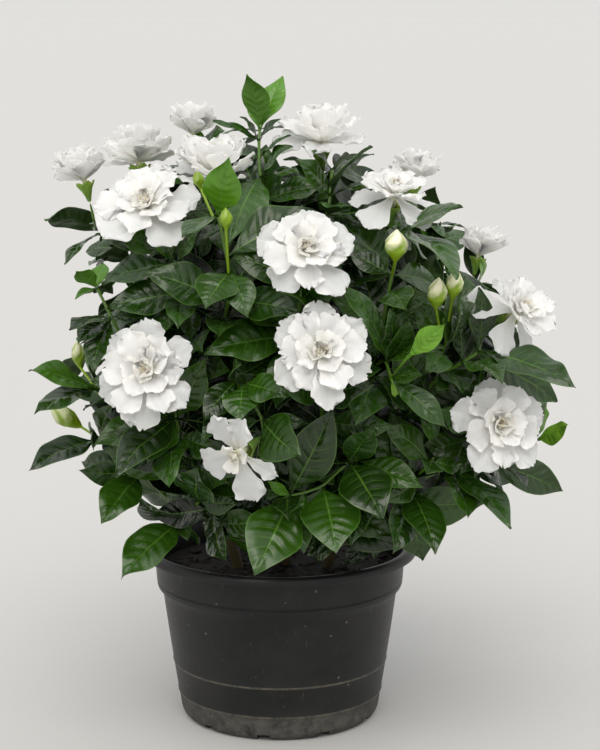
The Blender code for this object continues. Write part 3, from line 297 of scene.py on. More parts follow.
class ShrubPotLook(bpy.types.PropertyGroup):
    plastic: tint("Plastic", "Black polypropylene", "#141516")
    faded: tint("Faded plastic", "Where light has greyed it", "#1f1f1e")
    # The dust colour is also laid as painted highlights along the raised lines
    dust: tint("Dust", "Pale specks and water marks", "#a39d8c")
    dirt: tint("Dirt", "Dried soil along the foot", "#6b6963")
    sides: bpy.props.IntProperty(name="Sides", description="Sides of the turned wall", default=144, min=24)
    slots: bpy.props.IntProperty(name="Drain slots", description="Slots round the foot", default=10, min=3)
    slot_width: size("Slot width", "Width of a drain slot", 9)
    slot_height: size("Slot height", "Height of a drain slot", 4.8)


class ShrubSoilLook(bpy.types.PropertyGroup):
    peat: tint("Peat", "Damp peat", "#120e0a")
    bark: tint("Bark chips", "Dry edges of bark chips", "#33261a")
    chips: bpy.props.IntProperty(name="Chips", description="Bark chips on the surface", default=260, min=0)
    relief: size("Relief", "How far the surface rises and falls", 2.0)


class ShrubBarkLook(bpy.types.PropertyGroup):
    young: tint("Green bark", "Upper bark", "#5c5a33")
    old: tint("Brown bark", "Lower bark", "#54422f")
    pores: tint("Pores", "Pale pores in the bark", "#8d8266")


class ShrubLeafLook(bpy.types.PropertyGroup):
    deep: tint("Deep green", "An old blade", "#081704")
    fresh: tint("Fresh green", "A blade in its first year", "#2a520f")
    young: tint("Young green", "A blade that has lately opened", "#4f8212")
    newest: tint("Newest green", "A blade that is still soft", "#86b52e")
    # The rib colour is also laid as a painted highlight along each blade's margin
    rib: tint("Rib", "The midrib and side veins", "#5f8a34")
    underside: tint("Underside", "The paler lower face", "#30491c")
    stem: tint("Green stem", "The skin of a shoot", "#4d7020")
    thickness: size("Blade thickness", "Thickness of a blade", 0.4)
    relief: size("Quilting", "How far a blade rises between its side veins", 1.1)
    wave: size("Wave", "How far the margin rises and falls", 1.5)
    fold: factor("Fold", "Rise of the margin over its distance from the midrib", 0.2)
    sweep: factor("Sweep", "How far side veins lean to the tip", 0.62)


class ShrubPetalLook(bpy.types.PropertyGroup):
    white: tint("White", "The open petal", "#f9f8f5")
    cream: tint("Cream", "The heart and the petal's foot", "#ece0b0")
    green: tint("Green", "The tube and its cup", "#5f8a1c")
    gold: tint("Gold", "Anthers", "#e4c158")
    thickness: size("Petal thickness", "Thickness of a petal", 0.45)
    ruffle: size("Ruffle", "How far a petal's margin rises and falls", 1.5)


class ShrubBudLook(bpy.types.PropertyGroup):
    green: tint("Bud green", "The cup and furled sides", "#7d9d14")
    pale: tint("Bud white", "The furled tip", "#f3eed2")


class ShrubStageLook(bpy.types.PropertyGroup):
    floor: tint("Floor", "Plain pale floor", "#c4c3c1")
    overhead: tint("Overhead light", "Colour of the light from above", "#fafbfc")
    level: tint("Level light", "Colour of the light from the sides", "#e1e0dd")
    strength: factor("Strength", "Strength of the light from all round", 1.0)
    lamp: factor("Lamp", "Strength of the soft lamp", 1.8)


LOOKS = {
    "shrub_pot": ShrubPotLook, "shrub_soil": ShrubSoilLook, "shrub_bark": ShrubBarkLook,
    "shrub_leaf": ShrubLeafLook, "shrub_petal": ShrubPetalLook, "shrub_bud": ShrubBudLook,
    "shrub_stage": ShrubStageLook,
}


def in_picture(point):
    """The pixel at which the eye sees this point."""
    sight = point - EYE
    ahead = sight.dot(Vector((0, math.cos(LOOK_DOWN), -math.sin(LOOK_DOWN))))
    rise = sight.dot(Vector((0, math.sin(LOOK_DOWN), math.cos(LOOK_DOWN))))
    scale = FOCAL_PIXELS / ahead
    return PICTURE_WIDTH / 2 + scale * sight.x, PICTURE_HEIGHT / 2 - scale * rise


def started(add_primitive, **settings):
    """Adds a primitive with nothing else selected, and gives its object."""
    bpy.ops.object.select_all(action="DESELECT")
    add_primitive(**settings)
    return bpy.context.object


def select_only(*pieces):
    bpy.ops.object.select_all(action="DESELECT")
    for piece in pieces:
        piece.select_set(True)
    bpy.context.view_layer.objects.active = pieces[0]


def corners(mesh):
    """The places of a mesh's corners, as an array."""
    places = np.empty(len(mesh.vertices) * 3, np.float32)
    mesh.vertices.foreach_get("co", places)
    return places.reshape(-1, 3).astype(float)


def move_corners(mesh, places):
    mesh.vertices.foreach_set("co", np.asarray(places, np.float32).ravel())
    mesh.update()


def paint(mesh, name, values):
    """Writes three numbers for each corner of the mesh under this name."""
    layer = mesh.attributes.get(name) or mesh.attributes.new(name, "FLOAT_VECTOR", "POINT")
    layer.data.foreach_set("vector", np.asarray(values, np.float32).ravel())


def painted(mesh, name):
    values = np.empty(len(mesh.vertices) * 3, np.float32)
    mesh.attributes[name].data.foreach_get("vector", values)
    return values.reshape(-1, 3).astype(float)


def select_where(mesh, wanted):
    """In edit mode, selects only the corners whose place passes the test."""
    shape = bmesh.from_edit_mesh(mesh)
    shape.select_mode = {"VERT"}
    for corner in shape.verts:
        corner.select = wanted(corner.co)
    shape.select_flush_mode()
    bmesh.update_edit_mesh(mesh)


def copy_of(piece):
    """A copy with its own mesh."""
    twin = piece.copy()
    twin.data = piece.data.copy()
    bpy.context.scene.collection.objects.link(twin)
    return twin


def joined(parts, name):
    """Joins the parts into one piece of this name."""
    select_only(*parts)
    if len(parts) > 1:
        bpy.ops.object.join()
    parts[0].name = name
    parts[0].data.name = name
    return parts[0]


def apply_modifier(piece, kind, **settings):
    """Adds a modifier with these settings and applies it."""
    select_only(piece)
    bpy.ops.object.modifier_add(type=kind)
    modifier = piece.modifiers[-1]
    for name, value in settings.items():
        setattr(modifier, name, value)
    bpy.ops.object.modifier_apply(modifier=modifier.name)


def smooth(piece, degrees):
    select_only(piece)
    bpy.ops.object.shade_smooth_by_angle(angle=math.radians(degrees), keep_sharp_edges=False)


def settle(piece, slot, *nodes):
    """Ties a finished piece to the frame."""
    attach(piece, "root")
    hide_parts(*nodes)


def nodes_named(start):
    """The names of the frame's nodes that begin this way, in order."""
    return [name for name in sorted(NODES) if name.startswith(start)]


def ring_by_ring(section, sides, unit=MM):
    """A closed round solid, extruded from its foot through each radius and height of a half section."""
    radius, height = section[0]
    piece = started(bpy.ops.mesh.primitive_circle_add, vertices=sides, radius=radius * unit, fill_type="NGON")
    bpy.ops.object.mode_set(mode="EDIT")
    bpy.ops.mesh.select_all(action="SELECT")
    bpy.ops.transform.translate(value=(0, 0, height * unit))
    for (radius, height), (next_radius, next_height) in zip(section, section[1:]):
        climb = (next_height - height) * unit
        bpy.ops.mesh.extrude_region_move(TRANSFORM_OT_translate={"value": (0, 0, climb)})
        grow = next_radius / radius
        bpy.ops.transform.resize(value=(grow, grow, 1), center_override=(0, 0, next_height * unit))
    bpy.ops.mesh.select_all(action="SELECT")
    bpy.ops.mesh.normals_make_consistent(inside=False)
    bpy.ops.object.mode_set(mode="OBJECT")
    return piece


def unit_rod(sides):
    """A cylinder of radius 1 from 0 to 1 along z."""
    add_rod = bpy.ops.mesh.primitive_cylinder_add
    rod = started(add_rod, vertices=sides, radius=1, depth=1, location=(0, 0, 0.5))
    bpy.ops.object.transform_apply(location=True, rotation=False, scale=False)
    return rod


def merged(node):
    """A frame node's shape with its loose corners welded."""
    shape = bmesh.new()
    shape.from_mesh(node.data)
    bmesh.ops.remove_doubles(shape, verts=shape.verts, dist=WELD)
    return shape


def as_quads(shape):
    """Joins the frame's triangles in pairs."""
    bmesh.ops.join_triangles(shape, faces=shape.faces, angle_face_threshold=1.0, angle_shape_threshold=1.2)


def as_piece(shape, name, finish):
    """Ends a bmesh and gives it as an object."""
    mesh = bpy.data.meshes.new(name)
    shape.to_mesh(mesh)
    shape.free()
    mesh.materials.append(finish)
    piece = bpy.data.objects.new(name, mesh)
    bpy.context.scene.collection.objects.link(piece)
    return piece


def middle(points):
    return sum(points, Vector()) / len(points)


def squared(vector, way):
    """The part of a vector that is square to a unit direction, at unit length."""
    return (vector - way * vector.dot(way)).normalized()


def add(tree, kind, inputs=(), output=0, **settings):
    """Adds one node with its settings, values and links, and gives one of its outputs."""
    node = tree.nodes.new(kind)
    for name, value in settings.items():
        setattr(node, name, value)
    for key, value in dict(inputs).items():
        if isinstance(value, bpy.types.NodeSocket):
            tree.links.new(value, node.inputs[key])
        else:
            node.inputs[key].default_value = value
    return node.outputs[output] if node.outputs else node


def start_finish(name):
    """An empty material, and the function that adds nodes to it."""
    finish = bpy.data.materials.new(name)
    finish.use_nodes = True
    finish.node_tree.nodes.clear()
    return finish, partial(add, finish.node_tree)


def layered(put, colour, *coats):
    """Lays colours over one another, each by its own share."""
    for share, coat in coats:
        colour = put("ShaderNodeMix", {0: share, 6: colour, 7: coat}, output=2, data_type="RGBA")
    return colour


def end_finish(put, colour, roughness, height, depth, **uniform):
    """Closes a material: colour, roughness and bump are linked, and uniform values stand on the shader."""
    normal = put("ShaderNodeBump", {"Height": height, "Distance": depth})
    inputs = {"Base Color": colour, "Roughness": roughness, "Normal": normal}
    inputs.update({name.replace("_", " "): value for name, value in uniform.items()})
    surface = put("ShaderNodeBsdfPrincipled", inputs)
    put("ShaderNodeOutputMaterial", {"Surface": surface})


def pot_finish(look):
    """Moulded black polypropylene: satin, greyed by light, with specks of dust, soil dried on its foot, and
    pale painted highlights along its raised lines.
    """
    finish, put = start_finish("moulded black polypropylene")
    places = put("ShaderNodeTexCoord", output="Object")
    height = put("ShaderNodeSeparateXYZ", {0: places}, output=2)
    broad = {"Scale": 1 / (38 * MM), "Detail": 4.0, "Roughness": 0.6}
    cloud = put("ShaderNodeTexNoise", {"Vector": places, **broad})
    fade = put("ShaderNodeMapRange", {"Value": cloud, "From Min": 0.38, "From Max": 0.68})
    grain = put("ShaderNodeTexNoise", {"Vector": places, "Scale": 1 / (0.9 * MM), "Detail": 2.0})
    slanted = {"Rotation": (0.3, 0.2, 0.5), "Scale": (1.0, 1.0, 0.12)}
    drawn = put("ShaderNodeMapping", {"Vector": places, **slanted})
    fine = {"Scale": 1 / (2.2 * MM), "Detail": 3.0, "Roughness": 0.7}
    scuffs = put("ShaderNodeTexNoise", {"Vector": drawn, **fine})
    scuff = put("ShaderNodeMapRange", {"Value": scuffs, "From Min": 0.66, "From Max": 0.78})
    cells = put("ShaderNodeTexVoronoi", {"Vector": places, "Scale": 1 / (12 * MM), "Randomness": 1.0})
    speck = put("ShaderNodeMapRange", {"Value": cells, "From Min": 0.04, "From Max": 0.09, **FALLING})
    edges = {"From Min": 17.2 * MM, "From Max": 18.6 * MM, **FALLING}
    foot = put("ShaderNodeMapRange", {"Value": height, **edges})
    line_highlight = 0.0
    # Painted highlight: a pale line along each raised line, broken into patches, in the dust colour
    for level in HIGHLIGHT_LINES:
        off = put("ShaderNodeMath", {0: height, 1: -level * MM}, operation="ADD")
        away = put("ShaderNodeMath", {0: off}, operation="ABSOLUTE")
        edges = {"From Min": 0.4 * MM, "From Max": 1.1 * MM, "To Min": 0.26, "To Max": 0.0}
        line = put("ShaderNodeMapRange", {"Value": away, **edges})
        line_highlight = put("ShaderNodeMath", {0: line_highlight, 1: line}, operation="MAXIMUM")
    blots = {"Scale": 1 / (9 * MM), "Detail": 6.0, "Roughness": 0.75}
    wash = put("ShaderNodeTexNoise", {"Vector": places, **blots})
    patch = put("ShaderNodeMapRange", {"Value": wash, "From Min": 0.34, "From Max": 0.6, "To Min": 0.15})
    patchy_line_highlight = put("ShaderNodeMath", {0: line_highlight, 1: patch}, operation="MULTIPLY")
    low = put("ShaderNodeMath", {0: foot, 1: patch}, operation="MULTIPLY")
    mark = put("ShaderNodeMath", {0: scuff, 1: 0.16}, operation="MULTIPLY")
    dot = put("ShaderNodeMath", {0: speck, 1: 0.3}, operation="MULTIPLY")
    marked = put("ShaderNodeMath", {0: mark, 1: dot}, operation="MAXIMUM")
    dust_and_line_highlight = put("ShaderNodeMath", {0: marked, 1: patchy_line_highlight}, operation="MAXIMUM")
    soiled = put("ShaderNodeMath", {0: low, 1: 0.6}, operation="MULTIPLY")
    colour = layered(put, look.plastic, (fade, look.faded), (soiled, look.dirt), (dust_and_line_highlight, look.dust))
    gloss = put("ShaderNodeMapRange", {"Value": cloud, "To Min": 0.34, "To Max": 0.5})
    rough = put("ShaderNodeMath", {0: gloss, 1: soiled}, operation="ADD")
    relief = put("ShaderNodeMath", {0: grain, 1: soiled}, operation="ADD")
    end_finish(put, colour, rough, relief, 0.05 * MM, IOR=1.36)
    return finish


def soil_finish(look):
    """Peat with composted bark: crumbly, damp and nearly black, with browner chips on top."""
    finish, put = start_finish("peat and bark")
    places = put("ShaderNodeTexCoord", output="Object")
    crumbly = {"Scale": 1 / (3 * MM), "Detail": 6.0, "Roughness": 0.7}
    crumbs = put("ShaderNodeTexNoise", {"Vector": places, **crumbly})
    dry = put("ShaderNodeMapRange", {"Value": crumbs, "From Min": 0.5, "From Max": 0.75})
    tissue = put("ShaderNodeAttribute", output="Vector", attribute_name="tissue")
    chip = put("ShaderNodeSeparateXYZ", {0: tissue}, output=0)
    brown = put("ShaderNodeMath", {0: dry, 1: chip}, operation="MAXIMUM")
    colour = layered(put, look.peat, (brown, look.bark))
    rough = put("ShaderNodeMapRange", {"Value": crumbs, "To Min": 0.75, "To Max": 1.0})
    end_finish(put, colour, rough, crumbs, 0.8 * MM)
    return finish


def bark_finish(look):
    """Thin bark of a rooted cutting: greenish brown, split lengthwise, with pale pores."""
    finish, put = start_finish("young bark")
    places = put("ShaderNodeTexCoord", output="Object")
    drawn = put("ShaderNodeMapping", {"Vector": places, "Scale": (1.0, 1.0, 0.18)})
    fine = {"Scale": 1 / (1.6 * MM), "Detail": 5.0, "Roughness": 0.65}
    splits = put("ShaderNodeTexNoise", {"Vector": drawn, **fine})
    cells = put("ShaderNodeTexVoronoi", {"Vector": places, "Scale": 1 / (4 * MM)})
    edges = {"From Min": 0.1, "From Max": 0.18, "To Min": 0.7, "To Max": 0.0}
    pore = put("ShaderNodeMapRange", {"Value": cells, **edges})
    height = put("ShaderNodeSeparateXYZ", {0: places}, output=2)
    ages = {"From Min": 120 * MM, "From Max": 300 * MM, "To Min": 1.0, "To Max": 0.1}
    aged = put("ShaderNodeMapRange", {"Value": height, **ages})
    mixed = put("ShaderNodeMath", {0: aged, 1: splits}, operation="MULTIPLY")
    colour = layered(put, look.young, (mixed, look.old), (pore, look.pores))
    end_finish(put, colour, splits, splits, 0.4 * MM)
    return finish


def leaf_finish(look):
    """Leaf under a waxy cuticle: dark green and glossy, with pale veins sunk between its quilted cells, and a
    painted highlight along its margin.
    """
    finish, put = start_finish("waxed leaf cuticle")
    blade = put("ShaderNodeAttribute", output="Vector", attribute_name="blade")
    across, along, phase = put("ShaderNodeSeparateXYZ", {0: blade}).node.outputs
    tissue = put("ShaderNodeAttribute", output="Vector", attribute_name="tissue")
    young, shade, under = put("ShaderNodeSeparateXYZ", {0: tissue}).node.outputs
    places = put("ShaderNodeTexCoord", output="Object")
    mottle = put("ShaderNodeTexNoise", {"Vector": places, "Scale": 1 / (9 * MM), "Detail": 3.0})
    grain = put("ShaderNodeTexNoise", {"Vector": places, "Scale": 1 / (1.1 * MM), "Detail": 2.0})
    off_rib = put("ShaderNodeMath", {0: across}, operation="ABSOLUTE")
    edges = {"From Min": 0.0, "From Max": 0.065, "To Min": 0.62, "To Max": 0.0}
    rib = put("ShaderNodeMapRange", {"Value": off_rib, **edges}, interpolation_type="SMOOTHSTEP")
    # Painted highlight: a pale line along each blade's margin, in the rib colour
    margin = put("ShaderNodeMapRange", {"Value": off_rib, "From Min": 0.93, "From Max": 1.0, "To Max": 0.4})
    gap = put("ShaderNodeMath", {0: phase, 1: 0.5}, operation="PINGPONG")
    edges = {"From Min": 0.02, "From Max": 0.12, "To Min": 0.2, "To Max": 0.0}
    vein = put("ShaderNodeMapRange", {"Value": gap, **edges}, interpolation_type="SMOOTHSTEP")
    thin = put("ShaderNodeMapRange", {"Value": off_rib, "From Min": 0.3, "From Max": 0.95, **FALLING})
    side_vein = put("ShaderNodeMath", {0: vein, 1: thin}, operation="MULTIPLY")
    veined = put("ShaderNodeMath", {0: rib, 1: side_vein}, operation="MAXIMUM")
    veins_and_edge_highlight = put("ShaderNodeMath", {0: veined, 1: margin}, operation="MAXIMUM")
    foot = put("ShaderNodeMapRange", {"Value": along, "From Max": 0.45, "To Min": 0.45, "To Max": 0.0})
    # The shade channel holds each leaf's random tone less its painted shade, so a leaf painted as in shade
    # stays near the deep green
    fresh = put("ShaderNodeMath", {0: shade, 1: foot}, operation="ADD", use_clamp=True)
    fresher = put("ShaderNodeMath", {0: fresh, 1: mottle}, operation="MULTIPLY", use_clamp=True)
    opened = put("ShaderNodeMapRange", {"Value": young, "From Min": 0.0, "From Max": 0.5})
    newest = put("ShaderNodeMapRange", {"Value": young, "From Min": 0.5, "From Max": 1.0})
    tender = put("ShaderNodeMath", {0: opened, 1: -0.85, 2: 1.0}, operation="MULTIPLY_ADD")
    pale_below = put("ShaderNodeMath", {0: under, 1: tender}, operation="MULTIPLY")
    on_stem = put("ShaderNodeMath", {0: along, 1: -0.5}, operation="LESS_THAN")
    colour = layered(put, look.deep, (fresher, look.fresh), (opened, look.young), (newest, look.newest),
                     (veins_and_edge_highlight, look.rib), (pale_below, look.underside), (on_stem, look.stem))
    dull = put("ShaderNodeMath", {0: under, 1: 0.3}, operation="MULTIPLY")
    rough = put("ShaderNodeMath", {0: mottle, 1: 0.2, 2: 0.14}, operation="MULTIPLY_ADD")
    rougher = put("ShaderNodeMath", {0: rough, 1: dull}, operation="ADD")
    swell = put("ShaderNodeMath", {0: mottle, 1: 1.2, 2: grain}, operation="MULTIPLY_ADD")
    sunk = put("ShaderNodeMath", {0: veined, 1: -0.9, 2: swell}, operation="MULTIPLY_ADD")
    end_finish(put, colour, rougher, sunk, 0.2 * MM, IOR=1.5)
    return finish


def petal_finish(look):
    """Petal tissue: soft, bright and slightly see-through, finely ribbed along it, creamy at the heart."""
    finish, put = start_finish("petal tissue")
    blade = put("ShaderNodeAttribute", output="Vector", attribute_name="blade")
    across, along, _ = put("ShaderNodeSeparateXYZ", {0: blade}).node.outputs
    tissue = put("ShaderNodeAttribute", output="Vector", attribute_name="tissue")
    cream, green, gold = put("ShaderNodeSeparateXYZ", {0: tissue}).node.outputs
    places = put("ShaderNodeTexCoord", output="Object")
    cloud = put("ShaderNodeTexNoise", {"Vector": places, "Scale": 1 / (6 * MM), "Detail": 3.0})
    lines = put("ShaderNodeCombineXYZ", {0: across, 1: along})
    drawn = put("ShaderNodeMapping", {"Vector": lines, "Scale": (9.0, 1.2, 1.0)})
    ribs = put("ShaderNodeTexNoise", {"Vector": drawn, "Scale": 1.6, "Detail": 3.0})
    soft = put("ShaderNodeMath", {0: cloud, 1: 0.3, 2: -0.12}, operation="MULTIPLY_ADD")
    warm = put("ShaderNodeMath", {0: cream, 1: soft}, operation="ADD", use_clamp=True)
    colour = layered(put, look.white, (warm, look.cream), (green, look.green), (gold, look.gold))
    rough = put("ShaderNodeMapRange", {"Value": cloud, "To Min": 0.5, "To Max": 0.68})
    end_finish(put, colour, rough, ribs, 0.25 * MM, Subsurface_Weight=0.8, Subsurface_Scale=5 * MM,
               Subsurface_Radius=(1.0, 0.96, 0.88), Sheen_Weight=0.1)
    return finish


def bud_finish(look):
    """Bud skin: smooth furled petals, green below and creamy at the tip, striped along their seams."""
    finish, put = start_finish("furled bud skin")
    blade = put("ShaderNodeAttribute", output="Vector", attribute_name="blade")
    around, along, ripe = put("ShaderNodeSeparateXYZ", {0: blade}).node.outputs
    places = put("ShaderNodeTexCoord", output="Object")
    cloud = put("ShaderNodeTexNoise", {"Vector": places, "Scale": 1 / (2.5 * MM), "Detail": 3.0})
    uneven = put("ShaderNodeMath", {0: cloud, 1: 0.4, 2: along}, operation="MULTIPLY_ADD")
    paling = put("ShaderNodeMapRange", {"Value": uneven, "From Min": 0.5, "From Max": 0.95})
    opened = put("ShaderNodeMath", {0: paling, 1: ripe}, operation="MULTIPLY")
    seam = put("ShaderNodeMath", {0: around, 1: -0.55, 2: opened}, operation="MULTIPLY_ADD", use_clamp=True)
    colour = layered(put, look.green, (seam, look.pale))
    rough = put("ShaderNodeMapRange", {"Value": cloud, "To Min": 0.38, "To Max": 0.5})
    end_finish(put, colour, rough, cloud, 0.1 * MM)
    return finish


def floor_finish(look):
    """Matt painted board: even and pale, with a faint tooth."""
    finish, put = start_finish("matt painted board")
    places = put("ShaderNodeTexCoord", output="Object")
    tooth = put("ShaderNodeTexNoise", {"Vector": places, "Scale": 1 / (3 * MM), "Detail": 2.0})
    rough = put("ShaderNodeMapRange", {"Value": tooth, "To Min": 0.85, "To Max": 0.95})
    colour = layered(put, look.floor, (0.03, tooth))
    end_finish(put, colour, rough, tooth, 0.05 * MM)
    return finish


def blade_blank(name, columns, rows, half_width, thickness, finish):
    """A flat blade made from a grid: rows drawn in to the outline, the tip welded, then given its thickness.
    Its blade attribute holds how far each corner lies across, from -1 to 1, and along, from 0 to 1."""
    blank = started(bpy.ops.mesh.primitive_grid_add, x_subdivisions=columns, y_subdivisions=rows, size=2,
                    location=(0, 0.5, 0))
    blank.name = name
    blank.scale = (1, 0.5, 1)
    bpy.ops.object.transform_apply(location=True, rotation=False, scale=True)
    flat = corners(blank.data)
    flat[:, 2] = 0
    paint(blank.data, "blade", flat)
    bpy.ops.object.mode_set(mode="EDIT")
    for row in range(rows + 1):
        level = row / rows
        select_where(blank.data, lambda place: abs(place.y - level) < 0.2 / rows)
        bpy.ops.transform.resize(value=(half_width(level), 1, 1), center_override=(0, level, 0))
    bpy.ops.mesh.select_all(action="SELECT")
    bpy.ops.mesh.remove_doubles(threshold=0.0001)
    bpy.ops.object.mode_set(mode="OBJECT")
    apply_modifier(blank, "SOLIDIFY", thickness=thickness, offset=0)
    smooth(blank, 50)
    blank.data.materials.append(finish)
    return blank


def next_ring(ring, seen):
    """The corners one edge further out from a ring."""
    return {edge.other_vert(corner) for corner in ring for edge in corner.link_edges} - seen


def read_leaf(tip, waist, foot):
    """A leaf's frame from its tip and two rings of its CAD blade: the waist and the one on the stem."""
    ring = [corner.co.copy() for corner in waist]
    pairs = [(a, b) for k, a in enumerate(ring) for b in ring[k + 1:]]
    right, left = max(pairs, key=lambda pair: (pair[0] - pair[1]).length)
    ridge = middle([place for place in ring if place not in (right, left)])
    base = middle([corner.co for corner in foot])
    way = (tip - base).normalized()
    length = (tip - base).length
    up = squared(squared((right + left) / 2 - ridge, way), (right - left).normalized())
    up = squared(up, way)
    arch = (ridge - base).dot(up) / (2 * WAIST * (1 - WAIST) * length)
    return Leaf(base, way, way.cross(up), up, length, (right - left).length / WAIST_WIDTH, arch)


def new_leaf(base, way, up, length, width_share, arch):
    return Leaf(base, way, way.cross(up), up, length, width_share * length, arch)


def read_shoot(node):
    """The leaves of a frame shoot, and its bare stem with the leaves' places closed."""
    shape = merged(node)
    leaves = []
    blades = set()
    for corner in shape.verts:
        shoulder = next_ring({corner}, {corner})
        if len(corner.link_faces) != 4 or min((near.co - corner.co).length for near in shoulder) < 3 * MM:
            continue
        waist = next_ring(shoulder, shoulder | {corner})
        foot = next_ring(waist, waist | shoulder)
        if len(waist) == len(foot) == 4:
            leaves.append(read_leaf(corner.co.copy(), waist, foot))
            blades |= {corner} | shoulder | waist
    bmesh.ops.delete(shape, geom=list(blades), context="VERTS")
    bmesh.ops.holes_fill(shape, edges=[edge for edge in shape.edges if edge.is_boundary], sides=4)
    as_quads(shape)
    bmesh.ops.recalc_face_normals(shape, faces=shape.faces)
    leaves.sort(key=lambda leaf: tuple(round(part, 4) for part in leaf.base + leaf.way * leaf.length))
    return leaves, shape


def crown_share(point):
    """How far out in the crown a point lies: 0 at its centre and 1 at its outline."""
    return Vector([(point[i] - CROWN_CENTRE[i]) / CROWN_RADII[i] for i in range(3)]).length


def turned_leaf(leaf, degrees, dice):
    """A leaf from the same joint of the stem, turned aside in the plane of the first."""
    angle = math.radians(degrees)
    way = leaf.way * math.cos(angle) + leaf.side * math.sin(angle) + leaf.up * dice.uniform(-0.35, 0.35)
    way = way.normalized()
    up = squared(leaf.up, way)
    length = leaf.length * dice.uniform(0.75, 1.0)
    return Leaf(leaf.base, way, way.cross(up), up, length, leaf.width, leaf.arch)


def frame_tree():
    """Every face of the frame, for sight tests."""
    points, faces = [], []
    for name in sorted(NODES):
        mesh = NODES[name].data
        first = len(points)
        points += [corner.co for corner in mesh.vertices]
        faces += [[first + k for k in face.vertices] for face in mesh.polygons]
    return BVHTree.FromPolygons(points, faces)


def is_seen(leaf, tree):
    """Whether the eye sees a leaf's tip or blade past the rest of the frame."""
    for along in (0.45, 0.7, 0.97):
        rise = 2 * along * (1 - along) * leaf.arch * leaf.length
        place = leaf.base + leaf.way * along * leaf.length + leaf.up * rise
        sight = place - EYE
        where = tree.ray_cast(EYE, sight.normalized(), sight.length + 3 * MM)[0]
        if where is None or (where - place).length < SIGHT_SLACK:
            return True
    return False


def faced(leaf, share, most):
    """A leaf rolled about its length by a share of its angle to the eye, up to this many degrees."""
    sight = squared(EYE - leaf.base, leaf.way)
    angle = share * math.atan2(sight.dot(leaf.side), sight.dot(leaf.up))
    roll = max(-math.radians(most), min(math.radians(most), angle))
    up = leaf.up * math.cos(roll) + leaf.side * math.sin(roll)
    return leaf._replace(up=up, side=leaf.way.cross(up))


def covering_leaf(pixel, crown):
    """The shoot and leaf that cover a thin place, from the nearest joint behind the front."""
    across, down, past = pixel
    ahead = Vector((0, math.cos(LOOK_DOWN), -math.sin(LOOK_DOWN)))
    up = Vector((0, math.sin(LOOK_DOWN), math.cos(LOOK_DOWN)))
    right = Vector((1, 0, 0)) * (across - PICTURE_WIDTH / 2) / FOCAL_PIXELS
    sight = (ahead + right - up * (down - PICTURE_HEIGHT / 2) / FOCAL_PIXELS).normalized()
    choices = []
    for name, (leaves, _) in crown.items():
        for leaf in leaves:
            place = EYE + sight * (leaf.base - EYE).dot(sight)
            reach = (place - leaf.base).length
            if reach > NEAREST_COVER and leaf.base.y > FRONT_OF_COVER:
                choices.append((reach, name, leaf, place))
    reach, name, leaf, place = min(choices, key=lambda choice: choice[0])
    way = (place - leaf.base).normalized()
    face = squared(EYE - leaf.base, way)
    return name, new_leaf(leaf.base, way, face, past * reach, 0.5, 0.1)


def high_enough(tip):
    """Whether a tip keeps clear of the soil and the rim."""
    return tip.z > (LOWEST_FILL if math.hypot(tip.x, tip.y) < INSIDE_RIM else LOWEST_OVER_RIM)


def tried_places(count, dice):
    """Random places in and round the crown, each after how far out it lies along the crown's three axes."""
    for _ in range(count):
        spot = Vector([dice.uniform(-1, 1) for _ in range(3)])
        yield spot, Vector([CROWN_CENTRE[i] + spot[i] * CROWN_RADII[i] for i in range(3)])


def distances(points, place):
    return np.linalg.norm(np.array(points) - np.array(place), axis=1)


def along_leaf(leaf):
    """Two points on a leaf that stand for the room it takes."""
    return [tuple(leaf.base + leaf.way * along * leaf.length) for along in (0.4, 0.9)]


def twig_leaves(base, place, tree, dice):
    """Pairs of leaves along a twig, each turned a quarter from the last, less those that the eye sees."""
    way = (place - base).normalized()
    across = way.cross(Vector((0, 0, 1))).normalized()
    over = across.cross(way)
    kept = []
    for k in range(2 * TWIG_PAIRS):
        joint = base.lerp(place, 0.35 + 0.13 * (k // 2))
        angle = math.pi / 2 * (k // 2) + math.pi * (k % 2) + dice.uniform(-0.4, 0.4)
        out = across * math.cos(angle) + over * math.sin(angle)
        along = (way * dice.uniform(0.35, 0.8) + out).normalized()
        up = squared(way + Vector((0, 0, 0.8)), along)
        length = dice.uniform(38, 56) * MM
        leaf = new_leaf(joint, along, up, length, 0.46, 0.1)
        tip = joint + along * length
        if high_enough(tip) and crown_share(tip) < 0.95 and not is_seen(leaf, tree):
            kept.append(leaf)
    return kept


